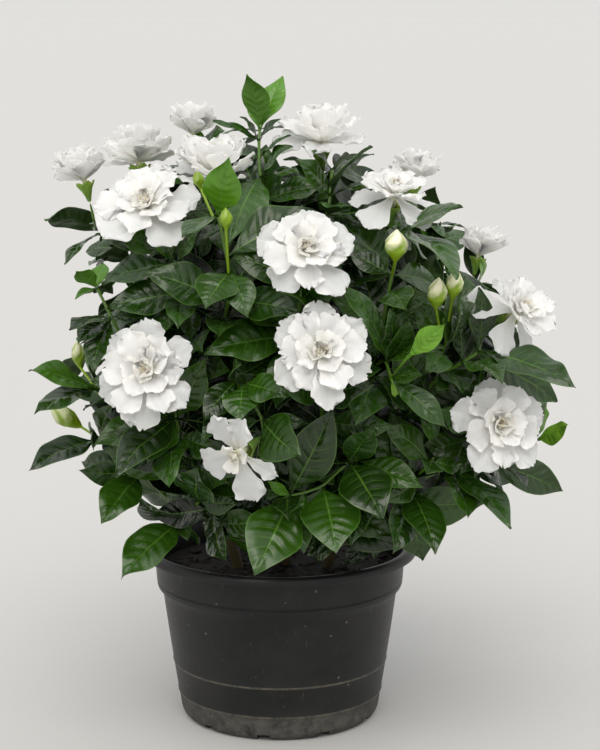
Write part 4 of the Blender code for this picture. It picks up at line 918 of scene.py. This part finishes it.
def filling(crown, tree):
    """Leaves and twigs for empty places of the crown that the eye doesn't see, from the nearest joints."""
    joints = [(leaf.base, name) for name, (leaves, _) in crown.items() for leaf in leaves]
    bases = np.array([base for base, _ in joints])
    full = [place for leaves, _ in crown.values() for leaf in leaves for place in along_leaf(leaf)]
    dice = random.Random("fill")
    added, twigs = [], []
    for spot, place in tried_places(TWIG_TRIES, dice):
        if spot.length > FILL_SHARE or place.z < LOWEST_TWIG or distances(full, place).min() < TWIG_ROOM:
            continue
        gaps = distances(bases, place)
        base, name = joints[int(gaps.argmin())]
        if not SHORTEST_TWIG < gaps.min() < LONGEST_TWIG:
            continue
        kept = twig_leaves(base, place, tree, dice)
        if len(kept) >= FEWEST_TWIG_LEAVES:
            twigs.append((name, base, place))
            added += [(name, leaf) for leaf in kept]
            full += [place for leaf in kept for place in along_leaf(leaf)]
    for spot, place in tried_places(FILL_TRIES, dice):
        if spot.length > FILL_SHARE or not high_enough(place) or distances(full, place).min() < FILL_ROOM:
            continue
        gaps = distances(bases, place)
        gaps[gaps < SHORTEST_FILL / 2] = 1
        base, name = joints[int(gaps.argmin())]
        length = max(SHORTEST_FILL, gaps.min() * 1.2)
        if length > LONGEST_FILL:
            continue
        way = (place - base).normalized()
        up = squared(Vector((0, 0, 1)) + 0.6 * spot, way)
        leaf = new_leaf(base, way, up, length, 0.46, 0.12)
        if high_enough(base + way * length) and not is_seen(leaf, tree):
            added.append((name, leaf))
            full += along_leaf(leaf)
    return added, twigs


def mark_stem(mesh):
    """Marks a whole mesh as the skin of a stem."""
    count = len(mesh.vertices)
    paint(mesh, "blade", np.tile((0, -1, 0), (count, 1)))
    paint(mesh, "tissue", np.zeros((count, 3)))


def stretched_twig(blank, start, end):
    """A copy of the twig blank between two points, tapering to the far one."""
    piece = copy_of(blank)
    x, y, z = corners(piece.data).T
    way = (end - start).normalized()
    side = way.orthogonal().normalized()
    radius = TWIG_FOOT_RADIUS + (TWIG_TIP_RADIUS - TWIG_FOOT_RADIUS) * z
    places = np.array(start) + np.outer(z, end - start)
    places += np.outer(x * radius, side) + np.outer(y * radius, way.cross(side))
    move_corners(piece.data, places)
    mark_stem(piece.data)
    return piece


def twig_blank(finish):
    """A six-sided twig from 0 to 1 along z."""
    blank = unit_rod(6)
    smooth(blank, 70)
    blank.data.materials.append(finish)
    return blank


def bent_leaf(blank, leaf, look, dice, young, painted_shade=0.0, stalk=STALK):
    """A copy of a blank bent along a leaf's frame: arched, folded, quilted between veins, wavy at the rim,
    and darkened by any painted shade that it is given.
    """
    piece = copy_of(blank.piece)
    x, y, z = blank.places.T
    y = np.interp(y, [0, STALK, 1], [0, stalk, 1])
    u, v, phase = blank.blade.T
    rim = np.abs(u)
    along = y + look.sweep * y * (1 - y) * rim ** 1.2
    half = leaf.width / 2 * dice.uniform(0.88, 0.98)
    across = x * half
    size_share = min(leaf.length / (60 * MM), 1.15)
    cell = np.abs(np.sin(np.pi * phase)) * np.clip(rim * 5, 0, 1) * (1 - rim ** 3)
    cell *= np.clip((1 - v) * 5, 0, 1)
    gains = np.array([dice.uniform(0.25, 1.3) for _ in range(24)])
    gain = gains[np.minimum(phase, 11).astype(int) + np.where(u > 0, 12, 0)]
    seed = Vector((dice.uniform(0, 50), dice.uniform(0, 50), 0))
    swell = np.array([noise.noise(Vector((a * 1.6, b * 4.5, 0)) + seed) for a, b in zip(u, v)])
    relief = look.relief * size_share * (blank.relief * gain * cell + 1.7 * swell * np.sin(np.pi * v))
    fold = look.fold * dice.uniform(0.6, 1.4) * np.abs(across) * (1 - 0.35 * rim)
    count = dice.uniform(1.3, 2.4)
    phase_right, phase_left = dice.uniform(0, 6.28), dice.uniform(0, 6.28)
    turn = 2 * np.pi * count * along + np.where(u > 0, phase_right, phase_left)
    wave = look.wave * size_share * rim ** 2.5 * np.sin(turn) * np.clip(along * 4, 0, 1)
    droop = -dice.uniform(0, 1.6) * MM * np.clip((along - 0.75) / 0.25, 0, 1) ** 2
    bow = 2 * along * (1 - along) * leaf.arch * leaf.length
    lift = fold + relief + wave + z
    twist = dice.uniform(-0.22, 0.22) * (along - 0.25)
    sway = dice.uniform(-0.9, 0.9) * MM * np.sin(np.pi * along)
    sideways = across * np.cos(twist) - lift * np.sin(twist) + sway
    upward = across * np.sin(twist) + lift * np.cos(twist) + bow + droop
    places = (np.array(leaf.base) + np.outer(along * leaf.length, leaf.way)
              + np.outer(sideways, leaf.side) + np.outer(upward, leaf.up))
    move_corners(piece.data, places)
    under = np.where(z < 0, 1.0, 0.0)
    # Painted shade: a random tone for each leaf, lowered by the painted shade given to leaves inside or low
    # in the crown
    shade = dice.uniform(0.0, 1.15) - painted_shade
    paint(piece.data, "tissue", np.stack([np.full_like(u, young), np.full_like(u, shade), under], axis=1))
    return piece


def leaves_at(name, number, leaf, blanks, look, tree):
    """One leaf of a frame shoot, and the extra leaves beside it inside the crown or low in it."""
    dice = random.Random(f"{name} {number}")
    tip = leaf.base + leaf.way * leaf.length
    kind = "seen" if is_seen(leaf, tree) else "outer" if crown_share(tip) > OUTER_SHARE else "inner"
    pixel = in_picture(tip)
    near = [fresh for x, y, fresh in YOUNG_TIPS if math.dist(pixel, (x, y)) < TIP_REACH]
    young = near[0] if near else dice.uniform(0, 0.1)
    turns = [share for x, y, share in TURNED_TIPS if math.dist(pixel, (x, y)) < TIP_REACH]
    if kind == "seen":
        leaf = faced(leaf, turns[0], 80) if turns else faced(leaf, 0.3, 16)
    stalk = LONG_STALK if math.dist(pixel, LONG_STALKED_TIP) < TIP_REACH else STALK
    # Leaves inside the crown are painted darker, as painted shade
    grown = [bent_leaf(blanks[kind], leaf, look, dice, young, INNER_PAINTED_SHADE if kind == "inner" else 0.0, stalk)]
    if kind == "inner" or tip.z < LOW_CROWN:
        for turn in INNER_TURNS if kind == "inner" else LOW_TURNS:
            extra = turned_leaf(leaf, turn + dice.uniform(-TURN_SPREAD, TURN_SPREAD), dice)
            tip = extra.base + extra.way * extra.length
            share = crown_share(tip)
            if high_enough(tip) and (share < SEEN_SHARE or share < HIDDEN_SHARE and not is_seen(extra, tree)):
                # Extra leaves at a joint are painted darker, as painted shade
                grown.append(bent_leaf(blanks["inner"], extra, look, dice, 0, EXTRA_PAINTED_SHADE))
    return grown


def leaf_blanks(look, finish):
    """Three leaf blanks: the finest for leaves that the eye sees, and others for outer and for inner ones."""
    def half_width(level):
        return float(np.interp(level + look.sweep * level * (1 - level), *zip(*LEAF_OUTLINE)))

    blanks = {}
    kinds = (("seen", 10, 36, 9, 1), ("outer", 8, 24, 8, 0.9), ("inner", 6, 12, 8, 0))
    for kind, columns, rows, veins, relief in kinds:
        piece = blade_blank(f"{kind}_leaf_blank", columns, rows, half_width, look.thickness, finish)
        blade = painted(piece.data, "blade")
        blade[blade[:, 1] > 0.999, 0] = 0
        blade[:, 2] = blade[:, 1] * veins
        paint(piece.data, "blade", blade)
        blanks[kind] = Blank(piece, corners(piece.data), blade, relief)
    return blanks


class GrowShoots(bpy.types.Operator):
    """Model each leafy shoot: its stem, and a bent copy of a blade blank for each leaf of the frame"""
    bl_idname = "shrub.grow_shoots"
    bl_label = "Grow Leafy Shoots"

    def execute(self, context):
        look = context.scene.shrub_leaf
        finish = leaf_finish(look)
        blanks = leaf_blanks(look, finish)
        crown = {name: read_shoot(NODES[name]) for name in nodes_named("shoot_")}
        tree = frame_tree()
        covers = [covering_leaf(pixel, crown) for pixel in THIN_PLACES]
        fills, twigs = filling(crown, tree)
        twig = twig_blank(finish)
        for name, (leaves, stem) in crown.items():
            parts = [as_piece(stem, f"leafy_{name}", finish)]
            apply_modifier(parts[0], "SUBSURF", levels=1, render_levels=1)
            smooth(parts[0], 60)
            mark_stem(parts[0].data)
            for k, leaf in enumerate(leaves):
                parts += leaves_at(name, k, leaf, blanks, look, tree)
            for cover in [leaf for owner, leaf in covers if owner == name]:
                dice = random.Random(f"{name} {cover.length:.4f}")
                # Covering leaves low over the rim are painted darker, as painted shade
                parts.append(bent_leaf(blanks["seen"], cover, look, dice, 0, COVER_PAINTED_SHADE))
            parts += [stretched_twig(twig, start, end) for owner, start, end in twigs if owner == name]
            for k, fill in enumerate([leaf for owner, leaf in fills if owner == name]):
                dice = random.Random(f"{name} fill {k}")
                # Filling and twig leaves are painted darker, as painted shade
                parts.append(bent_leaf(blanks["outer"], fill, look, dice, 0, FILL_PAINTED_SHADE))
            settle(joined(parts, f"leafy_{name}"), "leaf", name)
        for piece in [blank.piece for blank in blanks.values()] + [twig]:
            bpy.data.objects.remove(piece)
        return {"FINISHED"}


def read_bloom(node):
    """A flower's centre, axis, scale and openness, from its outer petals' tips and the foot of its tube."""
    shape = merged(node)
    outer = []
    for corner in shape.verts:
        ring = [edge.other_vert(corner).co - corner.co for edge in corner.link_edges]
        blunt = abs(middle([side.normalized() for side in ring]).length - OUTER_TIP_LEAN) < 0.02
        if len(corner.link_faces) == 4 and blunt and min(side.length for side in ring) > 3 * MM:
            outer.append(corner.co.copy())
    places = np.array([corner.co for corner in shape.verts])
    shape.free()
    if len(outer) != 6:
        raise RuntimeError(f"{node.name} shows {len(outer)} outer petal tips")
    flat = middle(outer)
    _, _, rows = np.linalg.svd(np.array([tip - flat for tip in outer]))
    axis = Vector(rows[2])
    depths = (places - np.array(flat)) @ rows[2]
    if depths.max() > -depths.min():
        axis = -axis
        depths = -depths
    foot = Vector(places[depths < depths.min() + 0.5 * MM].mean(axis=0))
    axis = (flat - foot).normalized()
    height = (flat - foot).length
    radius = sum((tip - flat).length for tip in outer) / 6
    low, high = 0.4, 1.6
    for _ in range(40):
        scale = (low + high) / 2
        reach = math.hypot(radius / scale - PETAL_OUT, height / scale - PETAL_UP)
        low, high = (scale, high) if reach > PETAL_REACH else (low, scale)
    rise = math.degrees(math.atan2(height / scale - PETAL_UP, radius / scale - PETAL_OUT))
    upward = squared(Vector((0, 0, 1)) if abs(axis.z) < 0.995 else Vector((0, 1, 0)), axis)
    rightward = upward.cross(axis)
    angles = [math.atan2((tip - flat).dot(rightward), (tip - flat).dot(upward)) for tip in outer]
    turn = min(math.degrees(angle) % 360 for angle in angles)
    return Bloom(foot + axis * CENTRE_HEIGHT * MM * scale, axis, upward, rightward, scale, rise, turn, foot)


def bent_petal(blank, bloom, angle, petal, dice):
    """A copy of a petal blank bent out from a flower's axis: bowed, cupped, ruffled and crumpled."""
    piece = copy_of(blank.piece)
    x, y, z = blank.places.T
    u, v, _ = blank.blade.T
    rim = np.abs(u)
    seed = Vector((dice.uniform(0, 50), dice.uniform(0, 50), 0))
    steps = np.linspace(0, 1, 33)
    slope = np.radians(petal["rise"] + petal["bow"] * (1 - 2 * steps))
    run = np.concatenate([[0], np.cumsum(np.cos((slope[1:] + slope[:-1]) / 2))]) / 32
    climb = np.concatenate([[0], np.cumsum(np.sin((slope[1:] + slope[:-1]) / 2))]) / 32
    bite = np.array([noise.noise(Vector((a * 3.6, b * 7.5, 3)) + seed) for a, b in zip(u, v)])
    level = y - 0.10 * u ** 2 * v ** 3 - petal["bite"] * np.clip(bite + 0.1, 0, 1) * v ** 9
    reach = petal["start"] + np.interp(level, steps, run) * petal["length"]
    height = petal["foot"] + np.interp(level, steps, climb) * petal["length"]
    tilt = np.interp(level, steps, slope)
    across = x * petal["width"] / 2 * (1 - 1.4 * petal["bite"] * np.clip(bite, 0, 1) * rim ** 8)
    starts = [dice.uniform(0, 6.28) for _ in range(4)]
    edge = np.where(u > 0, starts[0], starts[1])
    margin = rim ** 2 * np.clip((v - 0.25) / 0.4, 0, 1)
    count = dice.uniform(2.2, 3.6)
    frill = margin * np.sin(2 * np.pi * count * v + edge)
    top = v ** 6 * np.sin(dice.uniform(2.5, 5.0) * u + starts[2])
    fold = -0.35 * MM * np.exp(-(u / 0.14) ** 2) * np.sin(np.pi * np.clip(v, 0, 1))
    scale = bloom.scale
    ruffle = petal["ruffle"] * (0.9 * frill + 0.8 * top)
    cup = petal["cup"] * petal["width"] * u ** 2 * (0.4 + 0.6 * v)
    crumple = np.array([noise.noise(Vector((a * 3.2, b * 3.2, 0)) + seed) for a, b in zip(x, y)])
    lift = (ruffle + fold + crumple * 1.3 * MM * v) * scale + cup + z
    roll = math.radians(petal["roll"])
    sideways = across * math.cos(roll) - lift * math.sin(roll)
    above = across * math.sin(roll) + lift * math.cos(roll)
    out = bloom.upward * math.cos(angle) + bloom.rightward * math.sin(angle)
    side = out.cross(bloom.axis)
    centre = np.array(bloom.centre)
    places = (centre + np.outer(reach - np.sin(tilt) * above, out)
              + np.outer(height + np.cos(tilt) * above, bloom.axis) + np.outer(sideways, side))
    move_corners(piece.data, places)
    cream = petal["cream"] * np.clip(1 - v / 0.55, 0, 1) ** 1.5 + max(petal["cream"] - 0.45, 0) * 0.5
    green = petal.get("green", 0.0) + np.clip(0.16 - v, 0, 1) * 1.5
    paint(piece.data, "tissue", np.stack([cream, green + 0 * u, 0 * u], axis=1))
    return piece


def throat(bloom, finish):
    """A flower's tube with its swollen cup."""
    tube = ring_by_ring(TUBE_SECTION, 12, 1)
    smooth(tube, 60)
    tube.data.materials.append(finish)
    x, y, z = corners(tube.data).T
    scale = MM * bloom.scale
    places = (np.array(bloom.foot) + np.outer(x * scale, bloom.upward) - np.outer(y * scale, bloom.rightward)
              + np.outer(z * scale, bloom.axis))
    move_corners(tube.data, places)
    green = np.clip(1.9 - z / 12, 0.1, 1)
    paint(tube.data, "tissue", np.stack([0.6 + 0 * z, green, 0 * z], axis=1))
    paint(tube.data, "blade", np.stack([0 * z, z / 30, 0 * z], axis=1))
    return tube


def anther_blank(finish):
    """A small pointed anther, pinched from a ball."""
    blank = started(bpy.ops.mesh.primitive_ico_sphere_add, subdivisions=1, radius=1)
    bpy.ops.object.mode_set(mode="EDIT")
    bpy.ops.mesh.select_all(action="SELECT")
    bpy.ops.transform.resize(value=(0.45, 0.3, 1.6), center_override=(0, 0, 0))
    select_where(blank.data, lambda place: place.z > 0.5)
    bpy.ops.transform.resize(value=(0.5, 0.5, 1.2), center_override=(0, 0, 1))
    bpy.ops.object.mode_set(mode="OBJECT")
    smooth(blank, 60)
    blank.data.materials.append(finish)
    return blank


def petals_of(name, bloom, blanks, look, dice):
    """Every petal of a flower, whorl by whorl from outside in."""
    radius = FLOWER_RADIUS * bloom.scale
    parts = []
    for step, whorl in enumerate(STYLES.get(name, GOBLET if bloom.rise > GOBLET_RISE else FULL)):
        for k in range(whorl.count):
            petal = {
                "length": radius * whorl.length * dice.uniform(0.88, 1.06),
                "width": radius * whorl.width * dice.uniform(0.9, 1.12),
                "start": whorl.start * MM * bloom.scale,
                "foot": whorl.foot * MM * bloom.scale,
                "rise": min(bloom.rise + whorl.rise + dice.uniform(-7, 7), 84),
                "bow": whorl.bow + dice.uniform(-6, 10),
                "roll": 9 + dice.uniform(-7, 7) if step < 3 else dice.uniform(-25, 25),
                "cup": whorl.cup + dice.uniform(-0.05, 0.08),
                "cream": whorl.cream,
                "ruffle": look.ruffle * dice.uniform(0.5, 1.1) * (1 if step < 2 else 0.8),
                "bite": dice.uniform(0.1, 0.2),
            }
            wander = dice.uniform(-7, 7) if step < 2 else dice.uniform(-16, 16)
            degrees = bloom.turn + whorl.turn + 360 * k / whorl.count + wander
            if name in UNEVEN and step == 0:
                degrees, longer, wider = UNEVEN[name][k]
                petal["length"] = radius * longer
                petal["width"] = radius * whorl.width * wider
            angle = math.radians(degrees)
            petal["length"] *= 1 - HANG * math.cos(angle)
            parts.append(bent_petal(blanks[whorl.blank], bloom, angle, petal, dice))
    return parts


def sepal(blank, bloom, angle, dice):
    """One of the five points of a flower's cup."""
    unit = MM * bloom.scale
    shape = {"length": 18 * unit, "width": 8.4 * unit, "start": 2.2 * unit, "foot": -22 * unit,
             "rise": 66 if bloom.rise > GOBLET_RISE else 72, "bow": 12, "roll": 0, "cup": 0.15, "cream": 0,
             "ruffle": 0, "bite": 0, "green": 1.0}
    return bent_petal(blank, bloom, angle, shape, dice)


def placed_anther(blank, bloom, angle, dice):
    """A copy of the anther blank, leaning out of a flower's heart."""
    part = copy_of(blank)
    x, y, z = corners(blank.data).T * MM * bloom.scale
    out = bloom.upward * math.cos(angle) + bloom.rightward * math.sin(angle)
    above = dice.uniform(8, 12)
    spot = bloom.centre + (out * dice.uniform(0.6, 3.0) + bloom.axis * above) * MM * bloom.scale
    lean = (bloom.axis + out * dice.uniform(0.1, 0.5)).normalized()
    side = squared(out, lean)
    places = np.array(spot) + np.outer(x, side) + np.outer(y, lean.cross(side)) + np.outer(z, lean)
    move_corners(part.data, places)
    paint(part.data, "tissue", np.tile((0.4, 0, 1.0), (len(x), 1)))
    paint(part.data, "blade", np.zeros((len(x), 3)))
    return part


class OpenFlowers(bpy.types.Operator):
    """Model each double flower: whorls of ruffled petals round a heart, on a tube with a green cup"""
    bl_idname = "shrub.open_flowers"
    bl_label = "Open Flowers"

    def execute(self, context):
        look = context.scene.shrub_petal
        finish = petal_finish(look)

        def half_width(level):
            return float(np.interp(level, *zip(*PETAL_OUTLINE)))

        blanks = {}
        for kind, columns, rows in (("broad", 16, 18), ("small", 8, 10)):
            piece = blade_blank(f"{kind}_petal_blank", columns, rows, half_width, look.thickness, finish)
            blanks[kind] = Blank(piece, corners(piece.data), painted(piece.data, "blade"), 0)
        anther = anther_blank(finish)
        for name in nodes_named("flower_"):
            bloom = read_bloom(NODES[name])
            dice = random.Random(name)
            parts = [throat(bloom, finish)] + petals_of(name, bloom, blanks, look, dice)
            for k in range(5):
                angle = math.radians(72 * k + bloom.turn)
                parts.append(sepal(blanks["small"], bloom, angle, dice))
                parts.append(placed_anther(anther, bloom, angle, dice))
            settle(joined(parts, f"double_{name}"), "petal", name)
        for piece in [blank.piece for blank in blanks.values()] + [anther]:
            bpy.data.objects.remove(piece)
        return {"FINISHED"}


def read_bud(node):
    """The centres of a frame bud's rings, from the foot of its stalk to its tip, and their radii."""
    shape = merged(node)
    bmesh.ops.dissolve_limit(shape, angle_limit=math.radians(0.4), verts=shape.verts, edges=shape.edges)
    round_stalk = 2 * BUD_STALK_SIDES * BUD_STALK_RADIUS * math.sin(math.pi / BUD_STALK_SIDES)
    caps = [face for face in shape.faces if len(face.verts) == BUD_STALK_SIDES]
    cap = min(caps, key=lambda face: abs(face.calc_perimeter() - round_stalk))
    ring = set(cap.verts)
    seen = set(ring)
    centres, radii = [], []
    while ring:
        centre = middle([corner.co for corner in ring])
        centres.append(centre)
        radii.append(sum((corner.co - centre).length for corner in ring) / len(ring))
        ring = next_ring(ring, seen)
        seen |= ring
    shape.free()
    return centres, radii


def smoothed_ways(centres):
    """The direction of a line of points at each of them."""
    ways = [(b - a).normalized() for a, b in zip(centres, centres[1:])]
    return [ways[0]] + [(a + b).normalized() for a, b in zip(ways, ways[1:])] + [ways[-1]]


def furled_bud(rod, centres, radii, plumper, ripe):
    """Bends a rod along a bud's line of centres, and furls and swells its body."""
    lengths = np.concatenate([[0], np.cumsum([(b - a).length for a, b in zip(centres, centres[1:])])])
    x, y, share = corners(rod.data).T
    angle = np.arctan2(y, x)
    along = share * lengths[-1]
    body_start = lengths[2] / lengths[-1] * 0.98
    body = np.clip((share - body_start) / (1 - body_start), 0, 1)
    furl = 0.5 + 0.5 * np.cos(3 * angle - 7 * body)
    seam = (1 - furl) ** 4
    plump = 1 + plumper * np.sin(np.pi * body)
    radius = np.interp(along, lengths, radii) * plump * np.hypot(x, y)
    radius *= 1 - 0.16 * seam * np.clip(body * 3, 0, 1)

    def on_line(vectors):
        return np.array([[np.interp(a, lengths, [v[i] for v in vectors]) for a in along] for i in range(3)]).T

    ways = smoothed_ways(centres)
    way = on_line(ways)
    way /= np.linalg.norm(way, axis=1)[:, None]
    hint = np.array(ways[-1].orthogonal())
    side = hint - way * (way @ hint)[:, None]
    side /= np.linalg.norm(side, axis=1)[:, None]
    other = np.cross(way, side)
    move_corners(rod.data, on_line(centres) + side * (radius * np.cos(angle))[:, None]
                 + other * (radius * np.sin(angle))[:, None])
    paint(rod.data, "blade", np.stack([seam, body, ripe + 0 * body], axis=1))


class SetBuds(bpy.types.Operator):
    """Model each closed bud: its stalk and its body of furled petals"""
    bl_idname = "shrub.set_buds"
    bl_label = "Set Buds"

    def execute(self, context):
        finish = bud_finish(context.scene.shrub_bud)
        for name in nodes_named("bud_"):
            centres, radii = read_bud(NODES[name])
            grown, plumper, ripe = BUDS.get(name, OTHER_BUD)
            foot = centres[2]
            centres = centres[:3] + [foot + (centre - foot) * grown for centre in centres[3:]]
            rod = unit_rod(BUD_SIDES)
            bpy.ops.object.mode_set(mode="EDIT")
            for level in np.linspace(0, 1, BUD_ROWS)[1:-1]:
                bpy.ops.mesh.select_all(action="SELECT")
                bpy.ops.mesh.bisect(plane_co=(0, 0, level), plane_no=(0, 0, 1))
            bpy.ops.object.mode_set(mode="OBJECT")
            furled_bud(rod, centres, radii, plumper, ripe)
            rod.data.materials.append(finish)
            smooth(rod, 60)
            settle(joined([rod], f"furled_{name}"), "bud", name)
        return {"FINISHED"}


class MouldPot(bpy.types.Operator):
    """Model the nursery pot: one wall extruded along its section, with drain slots cut through its foot"""
    bl_idname = "shrub.mould_pot"
    bl_label = "Mould Pot"

    def execute(self, context):
        look = context.scene.shrub_pot
        pot = ring_by_ring(POT_SECTION, look.sides)
        pot.data.materials.append(pot_finish(look))
        cutters = []
        for k in range(look.slots):
            angle = 2 * math.pi * (k + SLOT_OFFSET) / look.slots
            place = (SLOT_RADIUS * math.cos(angle), SLOT_RADIUS * math.sin(angle), SLOT_MIDDLE)
            cutter = started(bpy.ops.mesh.primitive_cube_add, size=1, location=place, rotation=(0, 0, angle))
            cutter.scale = (SLOT_DEPTH, look.slot_width, 2 * (look.slot_height - SLOT_MIDDLE))
            bpy.ops.object.transform_apply(location=True, rotation=True, scale=True)
            cutters.append(cutter)
        cutter = joined(cutters, "slot_cutter")
        apply_modifier(pot, "BOOLEAN", object=cutter, operation="DIFFERENCE", solver="EXACT")
        bpy.data.objects.remove(cutter)
        smooth(pot, 32)
        settle(joined([pot], "nursery_pot"), "pot_plastic", "pot")
        return {"FINISHED"}


def soil_level(across, deep, relief):
    """The height of the soil's surface at a place: domed, lumpy, and even where it meets the wall."""
    radius = math.hypot(across, deep) / MM
    lumps = noise.fractal(Vector((across, deep, 0)) / (9 * MM), 1.0, 2.0, 4)
    hollow = 1 - min(1, max(0, (radius - SOIL_RIM + 8) / 8))
    return (109.4 + 3.6 * (1 - (radius / SOIL_RIM) ** 2)) * MM + relief * lumps * hollow


def bark_chip(blank, flat, relief, dice):
    """A crooked flake of bark, made from a ball and laid on the soil."""
    radius = (SOIL_RIM - 6) * MM * math.sqrt(dice.random())
    angle = dice.uniform(0, 2 * math.pi)
    spot = Vector((radius * math.cos(angle), radius * math.sin(angle), 0))
    spot.z = soil_level(spot.x, spot.y, relief) + 0.2 * MM
    turn = Vector((dice.uniform(-1, 1), dice.uniform(-1, 1), dice.uniform(-0.3, 0.3))).normalized()
    side = squared(Vector((dice.uniform(-0.3, 0.3), dice.uniform(-0.3, 0.3), 1)), turn)
    length = dice.uniform(1.5, 5.0) * MM
    shape = flat * np.array([length, length * dice.uniform(0.3, 0.7), length * dice.uniform(0.15, 0.35)])
    shape *= np.array([[dice.uniform(0.75, 1.25) for _ in range(3)] for _ in flat])
    part = copy_of(blank)
    move_corners(part.data, np.array(spot) + shape @ np.array([turn, turn.cross(side), side]))
    paint(part.data, "tissue", np.tile((dice.uniform(0.1, 0.9), 0, 0), (len(flat), 1)))
    return part


class FillSoil(bpy.types.Operator):
    """Model the soil: a lumpy surface of peat with bark chips on it, closed down to the pot's floor"""
    bl_idname = "shrub.fill_soil"
    bl_label = "Fill Soil"

    def execute(self, context):
        look = context.scene.shrub_soil
        finish = soil_finish(look)
        soil = ring_by_ring(SOIL_SECTION, 96)
        places = corners(soil.data)
        for k in np.nonzero(places[:, 2] > 108.5 * MM)[0]:
            places[k, 2] = soil_level(places[k, 0], places[k, 1], look.relief)
        move_corners(soil.data, places)
        soil.data.materials.append(finish)
        paint(soil.data, "tissue", np.zeros((len(places), 3)))
        smooth(soil, 50)
        chip = started(bpy.ops.mesh.primitive_ico_sphere_add, subdivisions=1, radius=1)
        chip.data.materials.append(finish)
        flat = corners(chip.data)
        dice = random.Random("chips")
        parts = [soil] + [bark_chip(chip, flat, look.relief, dice) for _ in range(look.chips)]
        bpy.data.objects.remove(chip)
        settle(joined(parts, "peat_and_chips"), "soil", "potting_soil")
        return {"FINISHED"}


class RootCuttings(bpy.types.Operator):
    """Model the four woody cuttings: rounded, a little crooked and ringed with old leaf scars"""
    bl_idname = "shrub.root_cuttings"
    bl_label = "Root Cuttings"

    def execute(self, context):
        finish = bark_finish(context.scene.shrub_bark)
        for name in nodes_named("cutting_"):
            shape = merged(NODES[name])
            as_quads(shape)
            lengthwise = [edge for edge in shape.edges if edge.calc_length() > 40 * MM]
            bmesh.ops.subdivide_edges(shape, edges=lengthwise, cuts=22, use_grid_fill=True)
            piece = as_piece(shape, f"woody_{name}", finish)
            apply_modifier(piece, "SUBSURF", levels=1, render_levels=1)
            mesh = piece.data
            normals = np.empty(len(mesh.vertices) * 3, np.float32)
            mesh.vertices.foreach_get("normal", normals)
            places = corners(mesh)
            rough = np.array([noise.fractal(Vector(place) / (5 * MM), 1.0, 2.0, 3) for place in places])
            scars = np.clip(np.sin(places[:, 2] / (17 * MM) * 2 * np.pi) - 0.8, 0, 1) * 2
            move_corners(mesh, places + normals.reshape(-1, 3) * ((0.3 * rough + 0.5 * scars) * MM)[:, None])
            smooth(piece, 60)
            settle(joined([piece], f"woody_{name}"), "bark", name)
        return {"FINISHED"}


class SetStage(bpy.types.Operator):
    """Lay the plain floor, hang the soft light and set the camera"""
    bl_idname = "shrub.set_stage"
    bl_label = "Set Stage"

    def execute(self, context):
        look = context.scene.shrub_stage
        floor = started(bpy.ops.mesh.primitive_circle_add, vertices=64, radius=FLOOR_RADIUS, fill_type="NGON")
        floor.name = "floor"
        floor.data.materials.append(floor_finish(look))
        world = bpy.data.worlds.new("pale room")
        world.use_nodes = True
        put = partial(add, world.node_tree)
        way = put("ShaderNodeTexCoord", output="Generated")
        rise = put("ShaderNodeSeparateXYZ", {0: way}, output=2)
        share = put("ShaderNodeMapRange", {"Value": rise, "From Min": 0.05, "From Max": 0.8})
        colour = layered(put, look.level, (share, look.overhead))
        backing = world.node_tree.nodes["Background"]
        world.node_tree.links.new(colour, backing.inputs["Color"])
        backing.inputs["Strength"].default_value = look.strength
        context.scene.world = world
        lamp = bpy.data.lights.new("soft lamp", "SUN")
        lamp.angle = LAMP_SPREAD
        lamp.energy = look.lamp
        lamp.color = linear("#fffaf2")[:3]
        hung = bpy.data.objects.new("soft_lamp", lamp)
        context.scene.collection.objects.link(hung)
        hung.location = LAMP_PLACE
        hung.rotation_euler = (LAMP_AIM - LAMP_PLACE).to_track_quat("-Z", "Y").to_euler()
        lens = bpy.data.cameras.new("camera")
        lens.sensor_width = SENSOR
        lens.lens = SENSOR * FOCAL_PIXELS / PICTURE_HEIGHT
        camera = bpy.data.objects.new("camera", lens)
        context.scene.collection.objects.link(camera)
        camera.location = EYE
        camera.rotation_euler = (math.pi / 2 - LOOK_DOWN, 0, 0)
        context.scene.camera = camera
        context.scene.view_settings.view_transform = "Standard"
        return {"FINISHED"}


STEPS = [MouldPot, FillSoil, RootCuttings, GrowShoots, OpenFlowers, SetBuds, SetStage]


class ShrubPanel(bpy.types.Panel):
    bl_label = "Potted Shrub"
    bl_idname = "VIEW3D_PT_potted_shrub"
    bl_space_type = "VIEW_3D"
    bl_region_type = "UI"
    bl_category = "Shrub"

    def draw(self, context):
        for step in STEPS:
            self.layout.operator(step.bl_idname)
        for name in LOOKS:
            box = self.layout.box()
            look = getattr(context.scene, name)
            for entry in look.__annotations__:
                box.prop(look, entry)


def register():
    for part in [*LOOKS.values(), *STEPS, ShrubPanel]:
        bpy.utils.register_class(part)
    for name, look in LOOKS.items():
        setattr(bpy.types.Scene, name, bpy.props.PointerProperty(type=look))


def unregister():
    for name in LOOKS:
        delattr(bpy.types.Scene, name)
    for part in reversed([*LOOKS.values(), *STEPS, ShrubPanel]):
        bpy.utils.unregister_class(part)


def main():
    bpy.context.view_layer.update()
    register()
    bpy.ops.shrub.mould_pot()
    bpy.ops.shrub.fill_soil()
    bpy.ops.shrub.root_cuttings()
    bpy.ops.shrub.grow_shoots()
    bpy.ops.shrub.open_flowers()
    bpy.ops.shrub.set_buds()
    bpy.ops.shrub.set_stage()


if __name__ == "__main__":
    main()
